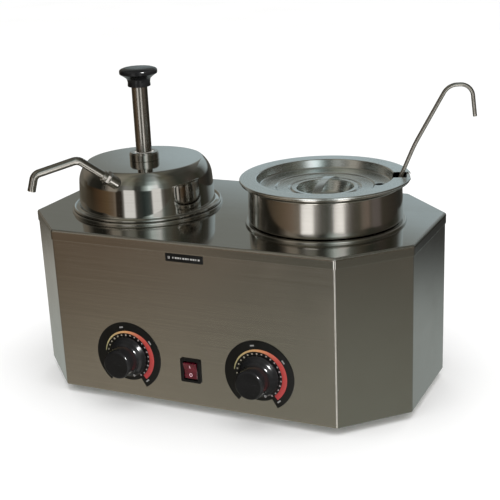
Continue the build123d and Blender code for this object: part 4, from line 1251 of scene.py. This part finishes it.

# Strap handle: bowed strip, its ends spot-welded to the dish
ha = math.radians(92.5)
hx = np.array([math.cos(ha), math.sin(ha), 0.0])
hy = np.array([-math.sin(ha), math.cos(ha), 0.0])
ho = np.array([WR.x + 1.5, WR.y, 0.0])
line = arc3((-34.0, g0 + 229.42), (0, g0 + 237.0), (34.0, g0 + 229.42), 40)
sect = []
hw2, ht = 4.6, 0.8
for sx, sz, a in ((1, 1, 0), (-1, 1, 90), (-1, -1, 180), (1, -1, 270)):
    sect += arc(sx * (hw2 - 0.5), sz * (ht - 0.5), 0.5, a, a + 90, 4)
vs, fs, flow = [], [], []
m = len(sect)
for i, p in enumerate(line):
    a, b = line[max(i - 1, 0)], line[min(i + 1, len(line) - 1)]
    t = (b - a) / np.linalg.norm(b - a)
    nrm = np.array([-t[1], t[0]])
    for q in sect:
        r = p + nrm * q[1]
        vs.append(ho + hx * r[0] + up * (r[1] + 0.8) + hy * q[0])
        flow.append((0.004 * q[1], 0.001 * q[0], 0.001 * i))
for i in range(len(line) - 1):
    for j in range(m):
        k2 = (j + 1) % m
        fs.append((i * m + j, i * m + k2, (i + 1) * m + k2, (i + 1) * m + j))
fs += [tuple(range(m)), tuple(range(len(line) * m - 1, (len(line) - 1) * m - 1, -1))]
ob = new_object("lid_strap", vs, fs, flow, [0.0] * len(vs), 40)
put(ob, "lid", "lid_steel", "lid_handle")

# Ladle
la = math.radians(25.6)
lu = np.array([math.cos(la), math.sin(la), 0.0])
ln = np.array([-math.sin(la), math.cos(la), 0.0])
lo3 = np.array([WR.x, WR.y, 0.0]) + ln * -5.7
tilt = math.radians(67.0)
ct, st = math.cos(tilt), math.sin(tilt)
hs, hz = 84.6, foot_h + 243.2
BR, ROD = 27.5, 2.2
bowl_z = pot_floor + 0.8 + BR + 0.6
h_end = bowl_z - BR * ct
s_end = hs - (hz - h_end) / math.tan(tilt)
bowl_s = s_end - (BR + ROD + 0.02) * st
bowl_c = lo3 + lu * bowl_s + up * bowl_z
hdir = lu * ct + up * st
bxd = lu * st - up * ct
prof = arc(0, 0, BR, -90, 0, 40)
prof[0] = np.array([0.0, -BR])
rim = [np.array([BR - 0.5 + 0.5 * math.cos(w), 0.0 + 0.35 * math.sin(w)]) for w in np.linspace(0.3, math.pi - 0.3, 5)]
inn = arc(0, 0, BR - 1.0, 0, -90, 40)
inn[-1] = np.array([0.0, -(BR - 1.0)])
ob = lathe("ladle_cup", prof + rim + inn, frame3=(bowl_c, bxd, np.cross(hdir, bxd), hdir), seg=128)
put(ob, "ladle", "lid_steel", "ladle_bowl")

hook = [(s_end - 3.0 * ct, h_end - 3.0 * st), (97.0, hz + (97.0 - hs) * math.tan(tilt)), (132.4, foot_h + 335.4), (157.6, foot_h + 335.4), (161.8, foot_h + 300.5)]
path = round_path([lo3 + lu * s + up * z for s, z in hook], [160.0, 16.0, 16.0], 20)
ob = tube("ladle_rod", path, ROD, 0.0, 28)
put(ob, "ladle", "tube_steel", "ladle_handle")

# ---------------------------------------------------------------------------
# CAD nodes that keep their shape: internals, fasteners, gland
# ---------------------------------------------------------------------------

keep = {
    "acetal_white": ["guide_bushing", "piston", "valve_body"],
    "base_zinc": ["base_plate"],
    "screw_zinc": ["base_screws", "foot_screws", "thermostat_nut_left", "thermostat_nut_right", "control_shaft_left", "control_shaft_right"],
    "element_alloy": ["heater_left", "heater_right", "heater_clamp_left", "heater_clamp_right"],
    "thermostat_body": ["thermostat_left", "thermostat_right", "terminal_block"],
    "copper_bulb": ["sensor_bulb_left", "sensor_bulb_right"],
    "wire_insulation": ["wiring"],
    "switch_black": ["cord_gland", "gland_nut"],
    "seal_rubber": ["piston_seal"],
    "fitting_steel": ["cylinder_nut", "inlet_ball"],
    "tube_steel": ["pump_cylinder"],
}
plain = {
    "fitting_steel": steel("fitting_plain", (0.58, 0.56, 0.53), 0.15, "none", 900.0, 0.06, 0.25, smear=0.06),
    "tube_steel": steel("tube_plain", (0.56, 0.545, 0.51), 0.20, "z", 1800.0, 0.06, 0.25, smear=0.06),
}
for slot_name, names in keep.items():
    for nme in names:
        if nme in NODES:
            ob = NODES[nme]
            ob.data.materials.clear()
            ob.data.materials.append(plain.get(slot_name, M[slot_name]))

# ---------------------------------------------------------------------------
# Floor, light, camera
# ---------------------------------------------------------------------------

bm = bmesh.new()
bmesh.ops.create_grid(bm, x_segments=24, y_segments=24, size=14.0)
me = bpy.data.meshes.new("floor")
bm.to_mesh(me)
bm.free()
floor = bpy.data.objects.new("floor", me)
bpy.context.scene.collection.objects.link(floor)
g = Graph("floor_paper")
obj = g.coords("object", (1, 1, 1))
grainy = g.noise(obj, 900.0, 3.0, 0.6)
c = g.mix(g.noise(obj, 3.0, 3.0, 0.5), (0.885, 0.885, 0.882), (0.91, 0.91, 0.908))
floor.data.materials.append(g.set(Base_Color=c, Roughness=0.85, Normal=g.bump(grainy, 0.05, 0.0001), Specular_IOR_Level=0.1))
floor.visible_glossy = False

scene = bpy.context.scene
scene.view_settings.view_transform = "Standard"
scene.view_settings.look = "None"
scene.view_settings.exposure = 0.0
scene.view_settings.gamma = 1.0
scene.cycles.use_denoising = True

world = bpy.data.worlds.new("studio")
scene.world = world
world.use_nodes = True
world.cycles.sampling_method = "NONE"
wt = world.node_tree
wt.nodes.clear()
wout = wt.nodes.new("ShaderNodeOutputWorld")
bg = wt.nodes.new("ShaderNodeBackground")
wt.links.new(bg.outputs[0], wout.inputs[0])


def wn(kind, *ins, **props):
    node = wt.nodes.new(kind)
    for k_, v_ in props.items():
        setattr(node, k_, v_)
    for s_, v_ in zip(node.inputs, ins):
        if isinstance(v_, bpy.types.NodeSocket):
            wt.links.new(v_, s_)
        elif v_ is not None:
            s_.default_value = v_
    return node


def wmath(op, a, b=0.0):
    return wn("ShaderNodeMath", a, b, operation=op).outputs[0]


def wstep(x, e0, e1):
    """Smooth step from e0 to e1."""
    node = wn("ShaderNodeMapRange", interpolation_type="SMOOTHSTEP")
    wt.links.new(x, node.inputs["Value"])
    lo_, hi_, a_, b_ = (e0, e1, 0.0, 1.0) if e0 < e1 else (e1, e0, 1.0, 0.0)
    node.inputs["From Min"].default_value, node.inputs["From Max"].default_value = lo_, hi_
    node.inputs["To Min"].default_value, node.inputs["To Max"].default_value = a_, b_
    return node.outputs["Result"]


def wband(x, lo_, hi_, soft):
    return wmath("MULTIPLY", wstep(x, lo_ - soft, lo_ + soft), wstep(x, hi_ + soft, hi_ - soft))


def wmix(fac, a, b):
    node = wn("ShaderNodeMix", data_type="RGBA")
    for s_, v_ in ((node.inputs[0], fac), (node.inputs[6], a), (node.inputs[7], b)):
        if isinstance(v_, bpy.types.NodeSocket):
            wt.links.new(v_, s_)
        else:
            s_.default_value = (*v_, 1.0) if isinstance(v_, tuple) else v_
    return node.outputs[2]


def wramp(x, lo_, hi_, stops):
    """Colour by position, x running from lo_ to hi_."""
    m_ = wn("ShaderNodeMapRange")
    wt.links.new(x, m_.inputs["Value"])
    m_.inputs["From Min"].default_value, m_.inputs["From Max"].default_value = lo_, hi_
    r_ = wn("ShaderNodeValToRGB", m_.outputs["Result"])
    e_ = r_.color_ramp.elements
    while len(e_) < len(stops):
        e_.new(0.5)
    for el, (p_, c_) in zip(e_, stops):
        el.position, el.color = (p_ - lo_) / (hi_ - lo_), (*c_, 1.0)
    return r_.outputs[0]


tc = wn("ShaderNodeTexCoord")
sep = wn("ShaderNodeSeparateXYZ", tc.outputs["Generated"])
az = wmath("MULTIPLY", wmath("ARCTAN2", sep.outputs[1], sep.outputs[0]), 180 / math.pi)
el = wmath("MULTIPLY", wmath("ARCSINE", sep.outputs[2]), 180 / math.pi)

# below the horizon: a warm grey table, darker further off
far_low = wramp(
    az,
    -180,
    180,
    [
        (-180, (0.10, 0.075, 0.05)),
        (-132, (0.085, 0.055, 0.032)),
        (-124, (0.13, 0.092, 0.058)),
        (-119, (0.16, 0.13, 0.10)),
        (-114, (0.095, 0.087, 0.068)),
        (-104, (0.085, 0.083, 0.072)),
        (-70, (0.088, 0.088, 0.078)),
        (-36, (0.10, 0.09, 0.075)),
        (-16, (0.085, 0.076, 0.060)),
        (10, (0.070, 0.062, 0.050)),
        (56, (0.030, 0.030, 0.028)),
        (76, (0.050, 0.052, 0.050)),
        (110, (0.20, 0.20, 0.19)),
        (142, (0.37, 0.36, 0.32)),
        (162, (0.20, 0.18, 0.15)),
        (180, (0.10, 0.075, 0.05)),
    ],
)
near_low = wramp(
    az,
    -180,
    180,
    [
        (-180, (0.34, 0.34, 0.30)),
        (-150, (0.30, 0.27, 0.21)),
        (-122, (0.32, 0.29, 0.23)),
        (-114, (0.255, 0.25, 0.205)),
        (-104, (0.26, 0.255, 0.21)),
        (-60, (0.20, 0.20, 0.17)),
        (-16, (0.215, 0.222, 0.185)),
        (30, (0.22, 0.23, 0.21)),
        (74, (0.325, 0.36, 0.35)),
        (110, (0.44, 0.48, 0.46)),
        (142, (0.41, 0.45, 0.43)),
        (180, (0.34, 0.34, 0.30)),
    ],
)
steep = wmath("MULTIPLY", wstep(az, 36, 56), wstep(az, 128, 112))
drop = wmath("ADD", el, wmath("MULTIPLY", steep, wmath("ADD", el, 18.6)))
fall = wramp(drop, -90, 90, [(-90, (1.0,) * 3), (-25.5, (1.0,) * 3), (-22.5, (0.72,) * 3), (-20, (0.36,) * 3), (-17.5, (0.0,) * 3), (90, (0.0,) * 3)])
low = wmix(fall, far_low, near_low)
# just under the horizon: brown on the left, black and grey bands, warm right
level = wramp(
    az,
    -180,
    180,
    [
        (-180, (0.060, 0.045, 0.029)),
        (-167, (0.037, 0.025, 0.014)),
        (-147, (0.088, 0.052, 0.027)),
        (-130, (0.135, 0.088, 0.046)),
        (-120, (0.165, 0.120, 0.080)),
        (-115.5, (0.22, 0.175, 0.130)),
        (-113, (0.038, 0.029, 0.020)),
        (-104, (0.036, 0.030, 0.024)),
        (-101, (0.20, 0.19, 0.17)),
        (-80, (0.20, 0.19, 0.17)),
        (-77, (0.055, 0.055, 0.048)),
        (-66, (0.030, 0.038, 0.035)),
        (-58, (0.065, 0.082, 0.078)),
        (-40, (0.30, 0.29, 0.26)),
        (-33, (0.16, 0.155, 0.14)),
        (-30, (0.085, 0.075, 0.062)),
        (-19, (0.070, 0.066, 0.048)),
        (-13, (0.185, 0.155, 0.125)),
        (-4, (0.21, 0.165, 0.135)),
        (0, (0.11, 0.095, 0.075)),
        (5, (0.15, 0.13, 0.12)),
        (16, (0.14, 0.12, 0.11)),
        (22, (0.058, 0.050, 0.037)),
        (51, (0.038, 0.032, 0.025)),
        (74, (0.030, 0.030, 0.026)),
        (110, (0.12, 0.115, 0.10)),
        (150, (0.17, 0.155, 0.13)),
        (165, (0.165, 0.150, 0.118)),
        (173, (0.09, 0.078, 0.058)),
        (180, (0.060, 0.045, 0.029)),
    ],
)
level_b = wramp(
    az,
    -180,
    180,
    [
        (-180, (0.072, 0.057, 0.038)),
        (-158, (0.072, 0.057, 0.038)),
        (-139, (0.130, 0.098, 0.064)),
        (-122, (0.195, 0.146, 0.105)),
        (-111, (0.25, 0.21, 0.165)),
        (-100, (0.30, 0.28, 0.24)),
        (-80, (0.22, 0.21, 0.19)),
        (-75, (0.13, 0.125, 0.108)),
        (-66, (0.095, 0.098, 0.082)),
        (-60, (0.20, 0.20, 0.18)),
        (-44, (0.30, 0.29, 0.26)),
        (-36, (0.16, 0.145, 0.13)),
        (-30, (0.088, 0.078, 0.064)),
        (-19, (0.074, 0.070, 0.052)),
        (-13, (0.19, 0.16, 0.13)),
        (-4, (0.21, 0.165, 0.135)),
        (0, (0.11, 0.095, 0.075)),
        (5, (0.15, 0.13, 0.12)),
        (16, (0.14, 0.12, 0.11)),
        (22, (0.058, 0.050, 0.037)),
        (51, (0.038, 0.032, 0.025)),
        (74, (0.030, 0.030, 0.026)),
        (110, (0.12, 0.115, 0.10)),
        (150, (0.11, 0.098, 0.075)),
        (180, (0.072, 0.057, 0.038)),
    ],
)
level = wmix(wstep(el, -9.5, -12.5), level, level_b)
low = wmix(wstep(el, -18.5, -15.5), low, level)
# above the horizon, row by row up to overhead
row_a = wramp(
    az,
    -180,
    180,
    [
        (-180, (0.10, 0.094, 0.078)),
        (-170, (0.030, 0.028, 0.022)),
        (-143, (0.018, 0.018, 0.014)),
        (-133, (0.12, 0.105, 0.085)),
        (-126, (0.34, 0.30, 0.25)),
        (-113, (0.34, 0.31, 0.26)),
        (-108, (0.10, 0.095, 0.080)),
        (-104, (0.13, 0.13, 0.115)),
        (-97, (0.29, 0.285, 0.27)),
        (-86, (0.27, 0.275, 0.24)),
        (-80, (0.060, 0.060, 0.050)),
        (-71, (0.055, 0.060, 0.054)),
        (-66, (0.23, 0.27, 0.25)),
        (-60, (0.55, 0.64, 0.62)),
        (-56, (1.0, 1.12, 1.10)),
        (-42, (1.0, 1.0, 1.0)),
        (-37, (0.34, 0.38, 0.36)),
        (-31, (0.14, 0.15, 0.13)),
        (-18, (0.10, 0.092, 0.070)),
        (0, (0.045, 0.050, 0.038)),
        (20, (0.070, 0.060, 0.050)),
        (44, (0.042, 0.042, 0.030)),
        (66, (0.09, 0.09, 0.08)),
        (95, (0.22, 0.225, 0.21)),
        (114, (0.225, 0.235, 0.215)),
        (125, (0.215, 0.22, 0.198)),
        (142, (0.22, 0.205, 0.17)),
        (165, (0.23, 0.20, 0.16)),
        (180, (0.10, 0.094, 0.078)),
    ],
)
row_b = wramp(
    az,
    -180,
    180,
    [
        (-180, (0.05, 0.048, 0.040)),
        (-150, (0.030, 0.028, 0.022)),
        (-134, (0.10, 0.09, 0.075)),
        (-126, (0.34, 0.31, 0.26)),
        (-113, (0.32, 0.30, 0.25)),
        (-106, (0.17, 0.165, 0.135)),
        (-96, (0.27, 0.27, 0.22)),
        (-87, (0.21, 0.21, 0.17)),
        (-79, (0.080, 0.080, 0.064)),
        (-64, (0.108, 0.125, 0.110)),
        (-53, (0.48, 0.57, 0.555)),
        (-42, (0.74, 0.80, 0.78)),
        (-33, (0.21, 0.23, 0.20)),
        (-18, (0.115, 0.105, 0.080)),
        (0, (0.050, 0.052, 0.042)),
        (40, (0.060, 0.055, 0.045)),
        (90, (0.20, 0.20, 0.185)),
        (112, (0.40, 0.43, 0.42)),
        (150, (0.12, 0.115, 0.10)),
        (180, (0.05, 0.048, 0.040)),
    ],
)
row_c = wramp(
    az,
    -180,
    180,
    [
        (-180, (0.07, 0.065, 0.052)),
        (-126, (0.30, 0.28, 0.23)),
        (-114, (0.28, 0.265, 0.215)),
        (-104, (0.22, 0.22, 0.17)),
        (-93, (0.245, 0.235, 0.18)),
        (-83, (0.115, 0.105, 0.080)),
        (-65, (0.097, 0.108, 0.095)),
        (-51, (0.28, 0.33, 0.32)),
        (-39, (0.40, 0.43, 0.415)),
        (-29, (0.147, 0.150, 0.115)),
        (-13, (0.125, 0.115, 0.085)),
        (4, (0.055, 0.055, 0.045)),
        (90, (0.09, 0.09, 0.08)),
        (180, (0.07, 0.065, 0.052)),
    ],
)
top = wramp(
    az,
    -180,
    180,
    [
        (-180, (0.16, 0.152, 0.125)),
        (-119, (0.235, 0.225, 0.175)),
        (-100, (0.15, 0.145, 0.12)),
        (-68, (0.10, 0.11, 0.095)),
        (-43, (0.21, 0.24, 0.23)),
        (-24, (0.33, 0.35, 0.33)),
        (-13, (0.145, 0.140, 0.107)),
        (60, (0.12, 0.12, 0.11)),
        (180, (0.16, 0.152, 0.125)),
    ],
)
high = wmix(wstep(el, 19, 31), row_a, row_b)
high = wmix(wstep(el, 36, 48), high, row_c)
high = wmix(wstep(el, 54, 70), high, top)
# a pale board behind, its upper edge sloping down to the left
board_az = wramp(az, -180, 180, [(-180, (0.0,) * 3), (62, (0.0,) * 3), (80, (0.75,) * 3), (94, (1.0,) * 3), (119, (1.0,) * 3), (121.5, (0.5,) * 3), (124, (0.1,) * 3), (130, (0.0,) * 3), (180, (0.0,) * 3)])
slope = wmath("ADD", el, wmath("MULTIPLY", wmath("SUBTRACT", az, 113.0), 0.25))
board = wmath("MULTIPLY", wstep(slope, 16.9, 14.8), wstep(el, -4, 2))
bd = wn("ShaderNodeMix", data_type="RGBA", blend_type="MULTIPLY")
bd.inputs[0].default_value = 1.0
wt.links.new(board_az, bd.inputs[6])
wt.links.new(board, bd.inputs[7])
high = wmix(bd.outputs[2], high, (0.45, 0.535, 0.56))
rise_el = wmath("SUBTRACT", el, wmath("MULTIPLY", wstep(az, -113, -108), 5.0))
col = wmix(wstep(rise_el, -5.5, 1.0), low, high)
# two upright soft boxes
lit = wramp(el, -90, 90, [(-90, (0.99,) * 3), (-19, (0.99,) * 3), (-14, (0.76,) * 3), (-9.5, (0.52,) * 3), (90, (0.52,) * 3)])
lean = wmath("ADD", az, wmath("MULTIPLY", wmath("SUBTRACT", wstep(el, -9.5, -12.5), wstep(el, -16.0, -18.0)), 5.5))
box1 = wmath("MULTIPLY", wband(lean, -99.5, -81, 2.0), wband(el, -76, 7, 2.5))
box2 = wmath("MULTIPLY", wband(lean, -52, -36.5, 2.2), wband(el, -76, 9, 2.5))
glow = wn("ShaderNodeMix", data_type="RGBA", blend_type="MULTIPLY")
glow.inputs[0].default_value = 1.0
wt.links.new(lit, glow.inputs[6])
glow.inputs[7].default_value = (1.83, 1.80, 1.74, 1.0)
col = wmix(box1, col, glow.outputs[2])
col = wmix(box2, col, glow.outputs[2])
lp = wn("ShaderNodeLightPath")
# what lights matt surfaces: an even white tent
col = wmix(lp.outputs["Is Diffuse Ray"], col, (1.15, 1.15, 1.15))
col = wmix(lp.outputs["Is Camera Ray"], col, (1.0, 1.0, 1.0))
wt.links.new(col, bg.inputs["Color"])
bg.inputs["Strength"].default_value = 1.0

key = bpy.data.lights.new("overhead", "AREA")
key.shape = "RECTANGLE"
key.size, key.size_y = 1.6, 1.2
key.energy = 9.0
key_ob = bpy.data.objects.new("overhead", key)
bpy.context.scene.collection.objects.link(key_ob)
key_ob.location = (0.35, -0.45, 1.7)
key_ob.rotation_euler = (Vector((0, 0, 0.1)) - key_ob.location).to_track_quat("-Z", "Y").to_euler()
key_ob.visible_glossy = False

glint = bpy.data.lights.new("glint", "AREA")
glint.shape = "SQUARE"
glint.size = 0.27
glint.energy = 72.0
glint_ob = bpy.data.objects.new("glint", glint)
bpy.context.scene.collection.objects.link(glint_ob)
glint_ob.location = (0.0 + 1.3 * math.cos(math.radians(-30)) * math.cos(math.radians(37)), -0.15 + 1.3 * math.sin(math.radians(-30)) * math.cos(math.radians(37)), 0.06 + 1.3 * math.sin(math.radians(37)))
glint_ob.rotation_euler = (Vector((0, -0.15, 0.06)) - glint_ob.location).to_track_quat("-Z", "Y").to_euler()
knobs_only = bpy.data.collections.new("knobs_only")
for piece in ("knob_left", "knob_right", "pump_button"):
    knobs_only.objects.link(bpy.data.objects[piece])
glint_ob.light_linking.receiver_collection = knobs_only

cam = bpy.data.cameras.new("camera")
cam.lens = 80.63
cam.sensor_width = 36.0
cam.shift_x, cam.shift_y = 0.0101, 0.0579
cam.clip_start, cam.clip_end = 0.05, 60.0
cam_ob = bpy.data.objects.new("camera", cam)
bpy.context.scene.collection.objects.link(cam_ob)
caz, cel, crl = math.radians(25.58), math.radians(19.63), math.radians(-2.61)
d = Vector((-math.sin(caz) * math.cos(cel), math.cos(caz) * math.cos(cel), -math.sin(cel)))
r = Vector((math.cos(caz), math.sin(caz), 0))
u = r.cross(d)
r2 = r * math.cos(crl) + u * math.sin(crl)
u2 = u * math.cos(crl) - r * math.sin(crl)
rot = Matrix((r2, u2, -d)).transposed().to_4x4()
rot.translation = Vector((0.54334, -1.11716, 0.55799))
cam_ob.matrix_world = rot
scene.camera = cam_ob
